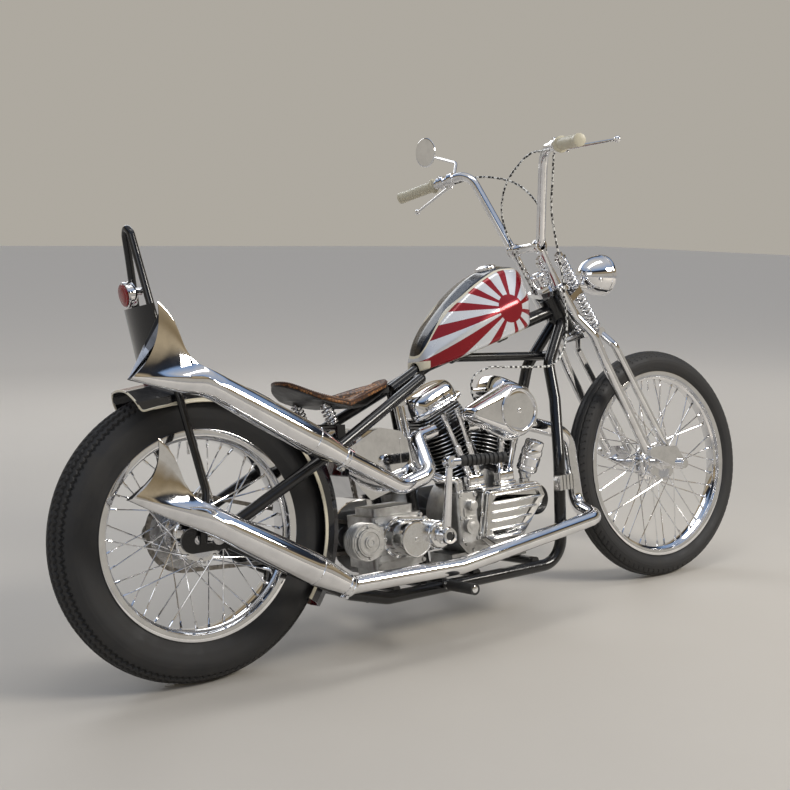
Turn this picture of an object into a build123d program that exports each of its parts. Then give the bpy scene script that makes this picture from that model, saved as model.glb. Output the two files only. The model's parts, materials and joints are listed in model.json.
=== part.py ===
from build123d import *
import math
import os

# A kick-start chopper motorcycle with a rigid frame and a springer fork, leaning on its side stand.
# It is modelled upright in the bike's own frame: +X forward, +Y to its left, +Z up, with the rear axle
# at X 0 and the ground line under the wheels at Z 0. Then it is leaned over to its left and moved so
# that the middle of its footprint is the origin.

# Stance
LEAN = 10.3
WHEELBASE = 1518.0
RAKE = 29.5
FORK_OFFSET = 75.0

# Clearances: faces that are bolted together, and shafts that turn in their bores
SEAT_GAP = 0.3
BEARING_CLEARANCE = 0.06

# Wheels: tyre radius and half width, rim radius and half width
REAR_TYRE_R = 341.0
REAR_TYRE_HALF = 54.0
REAR_RIM_R = 243.0
REAR_RIM_HALF = 44.0
FRONT_TYRE_R = 343.0
FRONT_TYRE_HALF = 37.0
FRONT_RIM_R = 281.0
FRONT_RIM_HALF = 27.0
RIM_WALL = 3.0
RIM_DEPTH = 17.0
WELL_DEPTH = 9.0
SPOKE_R = 1.9
SPOKE_COUNT = 40
SPOKE_SWEEP = 52.0
AXLE_R = 9.5

# Steering head
STEM_R = 13.0
HEAD_R = 29.0
HEAD_LOW = 520.0
HEAD_HIGH = 640.0

# Frame tubes
STAY_R = 14.5
RAIL_R = 16.0
BACKBONE_R = 19.0
BRACE_R = 12.0
RAIL_Z = 128.0
RAIL_Y = 112.0
AXLE_PLATE_T = 9.0
TUNNEL_GAP = 6.0

# Chain: the middle plane, half its width, its band's height and the two pitch radii
CHAIN_Y = 66.0
CHAIN_HALF = 5.0
CHAIN_BAND = 13.0
REAR_PITCH_R = 91.5
FRONT_PITCH_R = 35.5
SPROCKET_T = 6.0

# Engine: crank centre, vee half angle, crankcase and barrels measured along each cylinder
ENGINE_X = 815.0
ENGINE_Z = 283.0
VEE_HALF = 22.5
CASE_HALF = 58.0
CASE_R = 122.0
BARREL_R = 50.0
BARREL_LOW = 112.0
FIN_R = 70.0
FIN_T = 3.0
FIN_PITCH = 10.5
FIN_COUNT = 13
HEAD_BLOCK_BASE = 270.0
COVER_BASE = 318.0
COVER_TOP = 380.0
COVER_LENGTH = 176.0
COVER_WIDTH = 128.0
GEAR_CASE_T = 44.0
GEAR_CASE_TOP = 358.0
TIMING_T = 40.0

# Gearbox and kick shaft
GEARBOX_X = 508.0
GEARBOX_Z = 258.0
GEARBOX_SIDE = 85.0
OUTPUT_X = 470.0
KICK_X = 566.0
KICK_Z = 270.0

# Exhausts
PIPE_R = 21.0
MUFFLER_R = 35.5
MUFFLER_SLOPE = 31.0

# Handlebar
BAR_R = 12.7
GRIP_R = 17.0


def tyre_centre_height(outer_r, half):
    """Height of the axle above the ground line at which a leaned tyre of this crown touches the ground."""
    return (outer_r - half) + half / math.cos(math.radians(LEAN))


REAR_Z = tyre_centre_height(REAR_TYRE_R, REAR_TYRE_HALF)
FRONT_Z = tyre_centre_height(FRONT_TYRE_R, FRONT_TYRE_HALF)
REAR_AXLE = Vector(0, 0, REAR_Z)
FRONT_AXLE = Vector(WHEELBASE, 0, FRONT_Z)

STEER_UP = Vector(-math.sin(math.radians(RAKE)), 0, math.cos(math.radians(RAKE)))
STEER_FORWARD = Vector(math.cos(math.radians(RAKE)), 0, math.sin(math.radians(RAKE)))
STEER_FOOT = FRONT_AXLE - STEER_FORWARD * FORK_OFFSET

# The way up from the ground, seen from the leaned bike
GROUND_UP = Vector(0, -math.sin(math.radians(LEAN)), math.cos(math.radians(LEAN)))
GROUND_LEFT = Vector(0, math.cos(math.radians(LEAN)), math.sin(math.radians(LEAN)))


def fork_point(along, ahead, across):
    """A point of the fork: along the steering axis from the axle's level, ahead of it, and to its left."""
    return STEER_FOOT + STEER_UP * along + STEER_FORWARD * ahead + Vector(0, across, 0)


def side_plane(y):
    """An upright plane along the bike whose sketches read X forward and Z up, facing right."""
    return Plane(origin=(0, y, 0), x_dir=(1, 0, 0), z_dir=(0, -1, 0))


def both_sides(shape):
    """The shape and its image on the other side of the bike's middle plane."""
    return [shape, mirror(shape, about=Plane.XZ)]


def joined(shapes):
    """One shape of all these, fused where they touch."""
    first, *rest = shapes
    return first.fuse(*rest) if rest else first


def tube(points, radii, radius):
    """A round bar along straight runs joined by tangent arcs of these radii."""
    corners = [Vector(*point) for point in points]
    path = FilletPolyline(*corners, radius=radii)
    start = Plane(origin=path @ 0, z_dir=path % 0)
    return sweep(start * Circle(radius), path=path)


def cone(start, end, radius_start, radius_end):
    """A straight tapered bar between two points."""
    start = Vector(*start)
    axis = Vector(*end) - start
    low = (Align.CENTER, Align.CENTER, Align.MIN)
    if radius_start == radius_end:
        return Plane(origin=start, z_dir=axis) * Cylinder(radius_start, axis.length, align=low)
    return Plane(origin=start, z_dir=axis) * Cone(radius_start, radius_end, axis.length, align=low)


def rod(start, end, radius):
    """A straight round bar between two points."""
    return cone(start, end, radius, radius)


def across(x, z, y_start, y_end, radius):
    """A round bar across the bike."""
    return rod((x, y_start, z), (x, y_end, z), radius)


def beads(start, end, radius, thickness, shares):
    """Short thick rings threaded on the line from start to end at these shares of its length."""
    axis = Vector(*end) - Vector(*start)
    return [Plane(origin=Vector(*start) + axis * share, z_dir=axis) * Cylinder(radius, thickness) for share in shares]


def raised(plane, amount):
    """The same plane moved along its normal."""
    return Plane(origin=plane.origin + plane.z_dir * amount, x_dir=plane.x_dir, z_dir=plane.z_dir)


def block(low, high, edge=0.0):
    """A box from its low corner to its high corner, with its upright edges rounded."""
    size = Vector(*high) - Vector(*low)
    middle = (Vector(*high) + Vector(*low)) / 2
    body = Pos(*middle) * Box(size.X, size.Y, size.Z)
    return fillet(body.edges().filter_by(Axis.Z), edge) if edge > 0.0 else body


def ring(profile, centre):
    """A solid turned about the axle line through this centre; the profile gives radius and side offset."""
    face = make_face(Polyline(*profile, close=True))
    return Pos(*centre) * revolve(face, Axis.Y)


# Wheels

def tyre(outer_r, half, rim_r, rim_half, centre):
    """A round-crowned tyre: an arc over the tread, sidewalls to the rim's flanges, seated on the rim."""
    bead_r = rim_r - RIM_DEPTH + RIM_WALL + SEAT_GAP
    bead_half = rim_half - RIM_WALL - SEAT_GAP
    crown = outer_r - half
    wall = Line((bead_r, -bead_half), (rim_r + SEAT_GAP, -bead_half))
    side = Line(wall @ 1, (crown, -half))
    top = ThreePointArc((crown, -half), (outer_r, 0), (crown, half))
    side_left = Line((crown, half), (rim_r + SEAT_GAP, bead_half))
    wall_left = Line(side_left @ 1, (bead_r, bead_half))
    close = Line(wall_left @ 1, (bead_r, -bead_half))
    face = make_face(Wire([wall.edge(), side.edge(), top.edge(), side_left.edge(), wall_left.edge(), close.edge()]))
    return Pos(*centre) * revolve(face, Axis.Y)


def rim(rim_r, half, centre):
    """A drop-centre rim: two rolled flanges, two bead seats and a well between them."""
    seat_r = rim_r - RIM_DEPTH
    well_r = seat_r - WELL_DEPTH
    well_half = half * 0.45
    step = RIM_WALL
    outline = [
        (rim_r, -half), (rim_r, -half + step), (seat_r + step, -half + step),
        (seat_r + step, -well_half - step), (well_r + step, -well_half + step),
        (well_r + step, well_half - step), (seat_r + step, well_half + step),
        (seat_r + step, half - step), (rim_r, half - step), (rim_r, half),
        (seat_r, half), (seat_r, well_half + step), (well_r, well_half),
        (well_r, -well_half), (seat_r, -well_half - step), (seat_r, -half),
    ]
    return ring(outline, centre)


# flange radius, flange half spacing, barrel radius, half length over the hub's ends
REAR_HUB = (62.0, 34.0, 34.0, 60.0)
FRONT_HUB = (56.0, 30.0, 30.0, 52.0)
FLANGE_HALF = 3.0
HUB_NOSE = 0.62
HUB_STEP = 0.7
SPOKE_INSET = 4.0
NIPPLE_GAP = 0.9
SPOKE_TIP_Y = 5.0


def spoked_hub(rim_r, hub, centre):
    """A turned hub with two flanges, bored for the axle, and crossed spokes out to the rim's well."""
    flange_r, flange_half, barrel_r, half = hub
    bore = AXLE_R + BEARING_CLEARANCE
    nose_r = barrel_r * HUB_NOSE
    step_r = barrel_r * HUB_STEP
    outer = flange_half + FLANGE_HALF
    inner = flange_half - FLANGE_HALF
    outline = [
        (bore, -half), (nose_r, -half), (step_r, -outer), (flange_r, -outer),
        (flange_r, -inner), (barrel_r, -inner + FLANGE_HALF), (barrel_r, inner - FLANGE_HALF),
        (flange_r, inner), (flange_r, outer), (step_r, outer), (nose_r, half), (bore, half),
    ]
    foot_r = flange_r - SPOKE_INSET
    tip_r = rim_r - RIM_DEPTH - WELL_DEPTH - NIPPLE_GAP
    pieces = [ring(outline, centre)]
    for index in range(SPOKE_COUNT):
        side = -1 if index % 2 else 1
        leading = 1 if (index // 2) % 2 else -1
        tip_angle = math.radians(360.0 * (index + 0.5) / SPOKE_COUNT)
        foot_angle = tip_angle + leading * math.radians(SPOKE_SWEEP)
        foot = Vector(foot_r * math.cos(foot_angle), side * flange_half, foot_r * math.sin(foot_angle))
        tip = Vector(tip_r * math.cos(tip_angle), side * SPOKE_TIP_Y, tip_r * math.sin(tip_angle))
        pieces.append(Pos(*centre) * rod(foot, tip, SPOKE_R))
    return joined(pieces)


# Frame

BACKBONE = (fork_point(600, -10, 0), (690, 0, 692), (575, 0, 632))
BACKBONE_BEND = 120.0
DOWN_TUBE = (fork_point(562, -8, -16), (1080, -46, 670), (1068, -74, 570), (1026, -118, 400),
             (1010, -RAIL_Y, RAIL_Z), (440, -RAIL_Y, RAIL_Z), (330, -RAIL_Y, RAIL_Z + 30), (34, -RAIL_Y, REAR_Z - 16))
DOWN_BENDS = (60.0, 90.0, 120.0, 70.0, 60.0, 60.0)
STAY = ((34, -RAIL_Y, REAR_Z + 17), (335, -RAIL_Y + 2, 508), (638, -47, 656))
STAY_BEND = 150.0
POST_TOP = (575.0, 0.0, 632.0)
POST_FOOT = (640.0, 0.0, RAIL_Z)
BRACE = ((750, 0, 708), (1104, 0, 695))
# x, z, half length and radius of the tubes across the frame
CROSS_TUBES = (
    (1104.0, 695.0, 36.0, 13.5),
    (640.0, 657.0, 48.0, 13.0),
    (384.0, 138.0, RAIL_Y, 12.0),
    (470.0, 144.0, RAIL_Y, 10.0),
    (550.0, 144.0, RAIL_Y, 10.0),
    (640.0, RAIL_Z, RAIL_Y, 12.0),
    (720.0, 143.5, RAIL_Y, 12.0),
    (920.0, 143.5, RAIL_Y, 12.0),
)
ENGINE_FOOT_Z = 143.5 + 12.0 + SEAT_GAP
GEARBOX_FOOT_Z = 144.0 + 10.0 + SEAT_GAP
SEAT_BAR_X = 352.0
SEAT_BAR_Z = 556.0
SEAT_BAR_R = 8.0
SEAT_BAR_HALF = 98.0
# low and high corner of the right ear that carries the seat bar, and of the battery tray
SEAT_EAR = ((341, -106, 520), (363, -94, 562))
TRAY_Z = 376.7
TRAY = ((446, -30, TRAY_Z - 7), (610, 30, TRAY_Z))
# length and height of an axle plate and where its middle lies from the axle, then the same of its slot
PLATE_OUTLINE = (124.0, 56.0, -22.0)
PLATE_SLOT = (66.0, 2 * AXLE_R + 1.0, -20.0)
AXLE_NUT_R = 15.0
AXLE_NUT_T = 13.0
AXLE_END = 18.0
# the short bar that carries the mudguard's front end, from the cradle's cross tube
FENDER_STRAP = ((384, 0, 138), (309, 0, 178))
STRAP_R = 10.0
# x of the two saddle rings on the backbone that the tank sits on
TANK_SADDLES = (780.0, 950.0)
SADDLE_HALF = 11.0
BORE_OVERRUN = 20.0

# Side stand: where it pivots, its foot on the ground, and the way it points when folded
STAND_PIVOT = Vector(830, 146, 126)
STAND_FOOT = Vector(850, 268, 268 * math.tan(math.radians(LEAN)))
STAND_FOLDED = Vector(-0.997, 0.065, -0.04)
STAND_KNUCKLE_R = 13.0
STAND_KNUCKLE_HALF = 8.0
STAND_PIN_R = 6.0
STAND_HEAD_R = 9.0
STAND_EAR_T = 12.0
STAND_WEB_R = 6.0
STAND_PIN_END = 4.0
STAND_FOOT_LIFT = 10.0
STAND_DOWN = (STAND_FOOT + GROUND_UP * STAND_FOOT_LIFT - STAND_PIVOT).normalized()
STAND_AXIS = STAND_DOWN.cross(STAND_FOLDED).normalized()


def down_tube(radius):
    """The right side's tube from the head down, back under the engine and up to the axle plate."""
    return tube(DOWN_TUBE, DOWN_BENDS, radius)


def stay(radius):
    """The right side's upper stay, from the axle plate to the seat post."""
    return tube(STAY, STAY_BEND, radius)


def axle_plate():
    """The slotted plate that the rear axle and both stays end in."""
    outline, slot = (Pos(middle, 0) * SlotOverall(length, height)
                     for length, height, middle in (PLATE_OUTLINE, PLATE_SLOT))
    plane = Plane(origin=(0, -RAIL_Y, REAR_Z), x_dir=(1, 0, 0), z_dir=(0, -1, 0))
    return extrude(plane * (outline - slot), amount=AXLE_PLATE_T)


def stand_lug():
    """The frame's ear and pin for the side stand."""
    gap = STAND_KNUCKLE_HALF + SEAT_GAP
    end = gap + STAND_PIN_END
    ear = rod(STAND_PIVOT - STAND_AXIS * gap, STAND_PIVOT - STAND_AXIS * (gap + STAND_EAR_T), STAND_KNUCKLE_R)
    web_start = STAND_PIVOT - STAND_AXIS * (gap + STAND_WEB_R)
    web = rod(web_start, (STAND_PIVOT.X, RAIL_Y, RAIL_Z - STAND_WEB_R), STAND_WEB_R)
    pin = rod(STAND_PIVOT - STAND_AXIS * end, STAND_PIVOT + STAND_AXIS * end, STAND_PIN_R)
    head = rod(STAND_PIVOT + STAND_AXIS * gap, STAND_PIVOT + STAND_AXIS * end, STAND_HEAD_R)
    return joined([ear, web, pin, head])


def saddle_ring(x):
    """A ring round the backbone at this x that fills the tank's tunnel up to the seat gap."""
    high, low = Vector(*BACKBONE[0]), Vector(*BACKBONE[1])
    slope = (high - low).normalized()
    middle = low + (high - low) * ((x - low.X) / (high.X - low.X))
    return rod(middle - slope * SADDLE_HALF, middle + slope * SADDLE_HALF, BACKBONE_R + TUNNEL_GAP - SEAT_GAP)


def frame():
    """A welded rigid frame: head, backbone, brace, wishbone down tubes, cradle, seat post and stays."""
    head = rod(fork_point(HEAD_LOW, 0, 0), fork_point(HEAD_HIGH, 0, 0), HEAD_R)
    backbone = tube(BACKBONE, BACKBONE_BEND, BACKBONE_R)
    brace = rod(BRACE[0], BRACE[1], BRACE_R)
    post = rod(POST_TOP, POST_FOOT, STAY_R)
    bars = [across(x, z, -half, half, radius) for x, z, half, radius in CROSS_TUBES]
    seat_bar = across(SEAT_BAR_X, SEAT_BAR_Z, -SEAT_BAR_HALF, SEAT_BAR_HALF, SEAT_BAR_R)
    strap = rod(FENDER_STRAP[0], FENDER_STRAP[1], STRAP_R) - fender_solid(SEAT_GAP)
    saddles = [saddle_ring(x) for x in TANK_SADDLES]
    sides = []
    for piece in (down_tube(RAIL_R), stay(STAY_R), axle_plate(), block(*SEAT_EAR)):
        sides += both_sides(piece)
    body = joined([head, backbone, brace, post, seat_bar, stand_lug(), block(*TRAY), strap] + saddles + bars + sides)
    bore = rod(fork_point(HEAD_LOW - BORE_OVERRUN, 0, 0), fork_point(HEAD_HIGH + BORE_OVERRUN, 0, 0),
               STEM_R + BEARING_CLEARANCE)
    return body - bore


def rear_axle():
    """The rear axle bar with a nut outside each axle plate."""
    nut_low = RAIL_Y + AXLE_PLATE_T + SEAT_GAP
    bar = across(0, REAR_Z, -nut_low - AXLE_END, nut_low + AXLE_END, AXLE_R)
    return joined([bar] + both_sides(across(0, REAR_Z, -nut_low, -nut_low - AXLE_NUT_T, AXLE_NUT_R)))


# Tank

# x, bottom z, top z, half width of each section
TANK_SECTIONS = (
    (652.0, 677.0, 708.0, 30.0),
    (672.0, 682.0, 756.0, 50.0),
    (712.0, 692.0, 806.0, 72.0),
    (800.0, 718.0, 886.0, 98.0),
    (900.0, 749.0, 944.0, 109.0),
    (968.0, 770.0, 952.0, 104.0),
    (992.0, 779.0, 942.0, 88.0),
)
# corners up one side of a section, as shares of its half width and height, and the roundness of each
TANK_OUTLINE = ((0.93, 0.0, 0.14), (1.0, 0.42, 0.5), (0.62, 0.93, 0.32))
TANK_RIDGE_ROUND = 0.5
CAP_SEAT = Vector(917, 0, 941)
CAP_TILT = 12.0
CAP_AXIS = Vector(-math.sin(math.radians(CAP_TILT)), 0, math.cos(math.radians(CAP_TILT)))
CAP_R = 31.0
CAP_T = 10.0
CAP_CROWN_R = 21.0
CAP_CROWN_T = 5.0
CAP_HEADROOM = 60.0


def tank_section(x, low, high, half):
    """One upright slice of the tank: a flat bottom, full sides and a rounded ridge along the top."""
    height = high - low
    right = [(half * share_y, height * share_z) for share_y, share_z, _ in TANK_OUTLINE]
    left = [(-y, z) for y, z in right]
    sketch = Sketch() + make_face(Polyline(*(right + [(0, height)] + left[::-1]), close=True))
    smaller = min(half, height)
    for (y, z), (_, _, roundness) in zip(right, TANK_OUTLINE):
        pair = sketch.vertices().sort_by(lambda vertex: math.hypot(abs(vertex.X) - y, vertex.Y - z))[:2]
        sketch = fillet(pair, smaller * roundness)
    ridge = sketch.vertices().sort_by(lambda vertex: math.hypot(vertex.X, vertex.Y - height))[0]
    sketch = fillet(ridge, smaller * TANK_RIDGE_ROUND)
    return Plane(origin=(x, 0, low), x_dir=(0, 1, 0), z_dir=(1, 0, 0)) * sketch


def fuel_tank():
    """A peanut tank: a loft of rounded sections from its slim rear to its deep shoulders, over a tunnel."""
    body = loft([tank_section(*row) for row in TANK_SECTIONS], ruled=False)
    tunnel = tube(BACKBONE, BACKBONE_BEND, BACKBONE_R + TUNNEL_GAP)
    cap_seat = rod(CAP_SEAT, CAP_SEAT + CAP_AXIS * CAP_HEADROOM, CAP_R + SEAT_GAP)
    return body - tunnel - cap_seat


def filler_cap():
    """The chrome cap sunk a little into the top of the tank, with a raised crown."""
    foot = CAP_SEAT + CAP_AXIS * SEAT_GAP
    brim = foot + CAP_AXIS * CAP_T
    return rod(foot, brim, CAP_R).fuse(rod(brim, brim + CAP_AXIS * CAP_CROWN_T, CAP_CROWN_R))


# Seat

SEAT_TAIL_X = 348.0
SEAT_TAIL_R = 106.0
SEAT_NOSE_X = 520.0
SEAT_NOSE_R = 36.0
SEAT_THICK = 22.0
PAN_T = 4.0
# x, z of the seat's underside along the middle, from its raised tail through the dish to the nose
SEAT_PROFILE = ((240, 670), (262, 654), (296, 632), (340, 616), (400, 602), (450, 606), (505, 626), (560, 652))

# low and high corner of the bracket under the seat's nose
SEAT_BRACKET = ((541, -12, 628), (560, 12, 642.5))
SPRING_SIDE = 75.0
SPRING_FOOT = (SEAT_BAR_X - 3, SEAT_BAR_Z + SEAT_BAR_R + 3.4)
SPRING_TOP = (317.0, 640.0)
SPRING_CORE_R = 7.0
SPRING_COIL_R = 15.0
SPRING_WIRE = 5.0
SPRING_COILS = (0.12, 0.27, 0.42, 0.57)


def seat_outline(grow):
    """The seat's outline from above: a round tail that narrows to the nose."""
    tail = Pos(SEAT_TAIL_X, 0) * Circle(SEAT_TAIL_R + grow)
    nose = Pos(SEAT_NOSE_X, 0) * Circle(SEAT_NOSE_R + grow)
    return make_hull((tail + nose).edges())


def seat_slab(bottom, top, grow):
    """What lies between two shifts of the seat's side profile, inside its outline from above."""
    blank = extrude(Plane.XY.offset(560) * seat_outline(grow), amount=220)
    upper = [(x, z + top) for x, z in SEAT_PROFILE]
    lower = [(x, z + bottom) for x, z in SEAT_PROFILE]
    side = make_face(Polyline(*(upper + lower[::-1]), close=True))
    return blank & extrude(side_plane(0) * side, amount=200, both=True)


def seat():
    """The dished solo seat's leather-covered pad."""
    return seat_slab(SEAT_GAP, SEAT_THICK, 0.0)


def seat_pan():
    """The steel pan under the pad, with its nose bracket on the seat post."""
    return seat_slab(-PAN_T, 0.0, 2.0).fuse(block(*SEAT_BRACKET))


def seat_springs():
    """Two beehive springs between the frame's seat bar and the pan."""
    cut = seat_slab(-PAN_T - SEAT_GAP, 90.0, 4.0)
    foot = (SPRING_FOOT[0], -SPRING_SIDE, SPRING_FOOT[1])
    top = (SPRING_TOP[0], -SPRING_SIDE, SPRING_TOP[1])
    coils = beads(foot, top, SPRING_COIL_R, SPRING_WIRE, SPRING_COILS)
    return joined(both_sides(joined([rod(foot, top, SPRING_CORE_R)] + coils) - cut))


# Mudguard and sissy bar

FENDER_CROWN = 363.0
FENDER_HALF = 76.0
FENDER_WALL = 3.0
# how far the side's lower edge, its upper corner and the shoulder lie inside the crown's radius
FENDER_EDGE_DROP = 58.0
FENDER_SIDE_DROP = 34.0
FENDER_SHOULDER_DROP = 6.0
FENDER_SHOULDER = 0.62
# angles from straight ahead, up and over: the front end, where the tail begins to flare, and the tail's lip
FENDER_FRONT = -37.0
FLARE_FROM = 98.0
FENDER_TAIL = 114.5
FLARE_RISE = 15.0
FENDER_ROOM = 5.0
# x, y, z of the corners of the cut on the left where the chain passes
CHAIN_CUT = ((274, 54, 212), (410, 90, 366))


def fender_section(grow):
    """The mudguard's outer outline as radius and side offset, from edge over the crown to edge."""
    half = FENDER_HALF + grow
    crown = FENDER_CROWN + grow
    side = [(crown - FENDER_EDGE_DROP, half), (crown - FENDER_SIDE_DROP, half),
            (crown - FENDER_SHOULDER_DROP, half * FENDER_SHOULDER)]
    return [(radius, -y) for radius, y in side] + [(crown, 0)] + side[::-1]


def fender_solid(grow):
    """The closed solid inside the mudguard's outer surface, grown by this much."""
    section = fender_section(grow)
    return ring([(1, section[0][1])] + section + [(1, section[-1][1])], REAR_AXLE)


def rear_fender():
    """An arched mudguard round the rear tyre with a flared tail, cut open on its left where the chain passes."""
    outer = fender_section(0.0)
    inner = [(radius - FENDER_WALL, y * (FENDER_HALF - FENDER_WALL) / FENDER_HALF) for radius, y in outer[1:-1]]
    edge = FENDER_HALF - FENDER_WALL
    inner = [(outer[0][0], -edge)] + inner + [(outer[-1][0], edge)]
    face = make_face(Polyline(*(outer + inner[::-1]), close=True))
    arch = Rot(0, -FLARE_FROM, 0) * revolve(face, Axis.Y, revolution_arc=FLARE_FROM - FENDER_FRONT)
    flare = loft([Rot(0, -FLARE_FROM, 0) * face, Rot(0, -FENDER_TAIL, 0) * (Pos(FLARE_RISE, 0, 0) * face)])
    return Pos(0, 0, REAR_Z) * arch.fuse(flare) - block(*CHAIN_CUT)


# x, y, z down the left leg of the sissy bar
SISSY_R = 9.0
SISSY_FOOT_Y = RAIL_Y + AXLE_PLATE_T + SEAT_GAP + SISSY_R
SISSY_TOP = (-104, 0, 1051)
SISSY_LEG = ((-101, 17, 1036), (-94, 25, 985), (-69, 60, 790), (-48, 89, 662), (-16, 118, 446),
             (-30, SISSY_FOOT_Y, 384), (-38, SISSY_FOOT_Y, 332))
SISSY_BENDS = (14.0, 60.0, 120.0, 90.0, 60.0, 40.0)
SISSY_TOP_BEND = 12.0
SISSY_BAR_R = 5.0
PLATE_BAR_Z = 805.0
LAMP_BAR_Z = 905.0
# x and z of the boss on each leg that holds the mudguard
SISSY_BOSS = (-47, 655)
SISSY_BOSS_R = 6.0


def sissy_leg_at(z):
    """The x and y of the sissy bar's left leg at this height on its upper straight run."""
    high = SISSY_LEG[1]
    low = SISSY_LEG[2]
    share = (z - low[2]) / (high[2] - low[2])
    return low[0] + share * (high[0] - low[0]), low[1] + share * (high[1] - low[1])


def sissy_bar():
    """A tall narrow loop whose two legs run down outside the mudguard to the axle plates, with two cross bars."""
    right = [(x, -y, z) for x, y, z in SISSY_LEG]
    points = right[::-1] + [SISSY_TOP] + list(SISSY_LEG)
    bends = SISSY_BENDS[::-1] + (SISSY_TOP_BEND,) + SISSY_BENDS
    loop = tube(points, bends, SISSY_R)
    bars = []
    for z in (PLATE_BAR_Z, LAMP_BAR_Z):
        x, y = sissy_leg_at(z)
        bars.append(across(x, z, -y, y, SISSY_BAR_R))
    bosses = both_sides(across(*SISSY_BOSS, FENDER_HALF + SEAT_GAP, SISSY_LEG[3][1], SISSY_BOSS_R))
    return joined([loop] + bars + bosses)


# front end of the tail lamp, the way it looks, its body's length and radius, and the lens and stalk
TAIL_FRONT = Vector(-99, 0, 901)
TAIL_AXIS = Vector(-23, 0, -4).normalized()
TAIL_LENGTH = 23.4
TAIL_R = 30.0
TAIL_LENS_R = 26.0
TAIL_LENS_T = 5.7
TAIL_STALK_X = -105.0
TAIL_STALK_R = 9.0


def tail_light():
    """A turned lamp body on a stalk from the sissy bar."""
    stalk_end = sissy_leg_at(LAMP_BAR_Z)[0] - SISSY_BAR_R - SEAT_GAP
    body = rod(TAIL_FRONT, TAIL_FRONT + TAIL_AXIS * TAIL_LENGTH, TAIL_R)
    return body.fuse(rod((TAIL_STALK_X, 0, LAMP_BAR_Z), (stalk_end, 0, LAMP_BAR_Z), TAIL_STALK_R))


def tail_lens():
    """The round red lens at the rear of the lamp."""
    foot = TAIL_FRONT + TAIL_AXIS * (TAIL_LENGTH + SEAT_GAP)
    return rod(foot, foot + TAIL_AXIS * TAIL_LENS_T, TAIL_LENS_R)


PLATE_X = -103.0
PLATE_HEIGHT = 126.0
PLATE_HALF = 84.0
PLATE_BOW_R = 180.0
PLATE_T = 3.0
PLATE_TILT = 9.0
PLATE_BOSS_Y = 25.0
PLATE_BOSS_R = 5.0


def number_plate():
    """A bowed blank plate below the lamp, tilted with the bar, on two bosses."""
    shell = Cylinder(PLATE_BOW_R, PLATE_HEIGHT) - Cylinder(PLATE_BOW_R - PLATE_T, PLATE_HEIGHT)
    bowed = shell & (Pos(-PLATE_BOW_R, 0, 0) * Box(PLATE_BOW_R, 2 * PLATE_HALF, PLATE_HEIGHT))
    plate = Pos(PLATE_X, 0, PLATE_BAR_Z) * (Rot(0, -PLATE_TILT, 0) * (Pos(PLATE_BOW_R, 0, 0) * bowed))
    bar_x = sissy_leg_at(PLATE_BAR_Z)[0] - SISSY_BAR_R - SEAT_GAP
    bosses = both_sides(rod((PLATE_X + PLATE_T + 1, PLATE_BOSS_Y, PLATE_BAR_Z), (bar_x, PLATE_BOSS_Y, PLATE_BAR_Z),
                            PLATE_BOSS_R))
    return joined([plate] + bosses)


# Engine

# x, z round the outline of the gear case and its cover
TIMING_OUTLINE = ((735, 232), (760, GEAR_CASE_TOP), (948, GEAR_CASE_TOP), (962, 318), (868, 210), (770, 206))


def cylinder_frame(side):
    """The plane at the crank's centre whose normal runs up one cylinder; side is -1 rear and 1 front."""
    lean = math.radians(VEE_HALF) * side
    normal = Vector(math.sin(lean), 0, math.cos(lean))
    return Plane(origin=(ENGINE_X, 0, ENGINE_Z), x_dir=(math.cos(lean), 0, -math.sin(lean)), z_dir=normal)


def up_cylinder(side, along):
    """The plane across one cylinder at this distance from the crank."""
    return raised(cylinder_frame(side), along)


def timing_face():
    return fillet(make_face(Polyline(*TIMING_OUTLINE, close=True)).vertices(), 15.0)


def gear_case():
    """The gear case on the right of the crankcase, flat on top for the tappet blocks."""
    return extrude(side_plane(-CASE_HALF) * timing_face(), amount=GEAR_CASE_T)


def crankcase():
    """The closed crankcase: a drum across the bike with two flat decks and feet on the frame's tubes."""
    drum = across(ENGINE_X, ENGINE_Z, -CASE_HALF, CASE_HALF, CASE_R)
    foot = block((690, -50, ENGINE_FOOT_Z), (940, 50, 190))
    body = drum.fuse(foot)
    for side in (-1, 1):
        deck = extrude(up_cylinder(side, BARREL_LOW) * Rectangle(220, 200), amount=80)
        body = body - deck
    return body


def timing_cover():
    """The ribbed cover over the timing gears, its ribs running fore and aft."""
    face = side_plane(-CASE_HALF - GEAR_CASE_T - SEAT_GAP)
    edge = extrude(face * timing_face(), amount=12.0)
    nose = extrude(face * offset(timing_face(), amount=-9.0), amount=TIMING_T)
    body = edge.fuse(nose)
    outer = face.origin.Y - TIMING_T
    for index in range(6):
        z = 219.5 + 20.0 * index
        body = body - block((700, outer - 11, z), (1000, outer + 11, z + 9))
    return body


def cylinders():
    """Both barrels and heads with their cooling fins, cut apart in the middle of the vee."""
    pieces = []
    for side in (-1, 1):
        core = extrude(up_cylinder(side, BARREL_LOW + SEAT_GAP) * Circle(BARREL_R),
                       amount=COVER_BASE - BARREL_LOW - 2 * SEAT_GAP)
        head = extrude(up_cylinder(side, HEAD_BLOCK_BASE) * RectangleRounded(152, 116, 20),
                       amount=COVER_BASE - SEAT_GAP - HEAD_BLOCK_BASE)
        fins = []
        for index in range(FIN_COUNT):
            plane = up_cylinder(side, BARREL_LOW + 18 + FIN_PITCH * index)
            fins.append(extrude(plane * Circle(FIN_R), amount=FIN_T))
        keep_low = ENGINE_X + 2.0 if side > 0 else ENGINE_X - 302.0
        keep = block((keep_low, -150, 200), (keep_low + 300, 150, 700))
        pieces.append(joined([core, head] + fins) & keep)
    return joined(pieces) - pushrods(SEAT_GAP)


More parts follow.
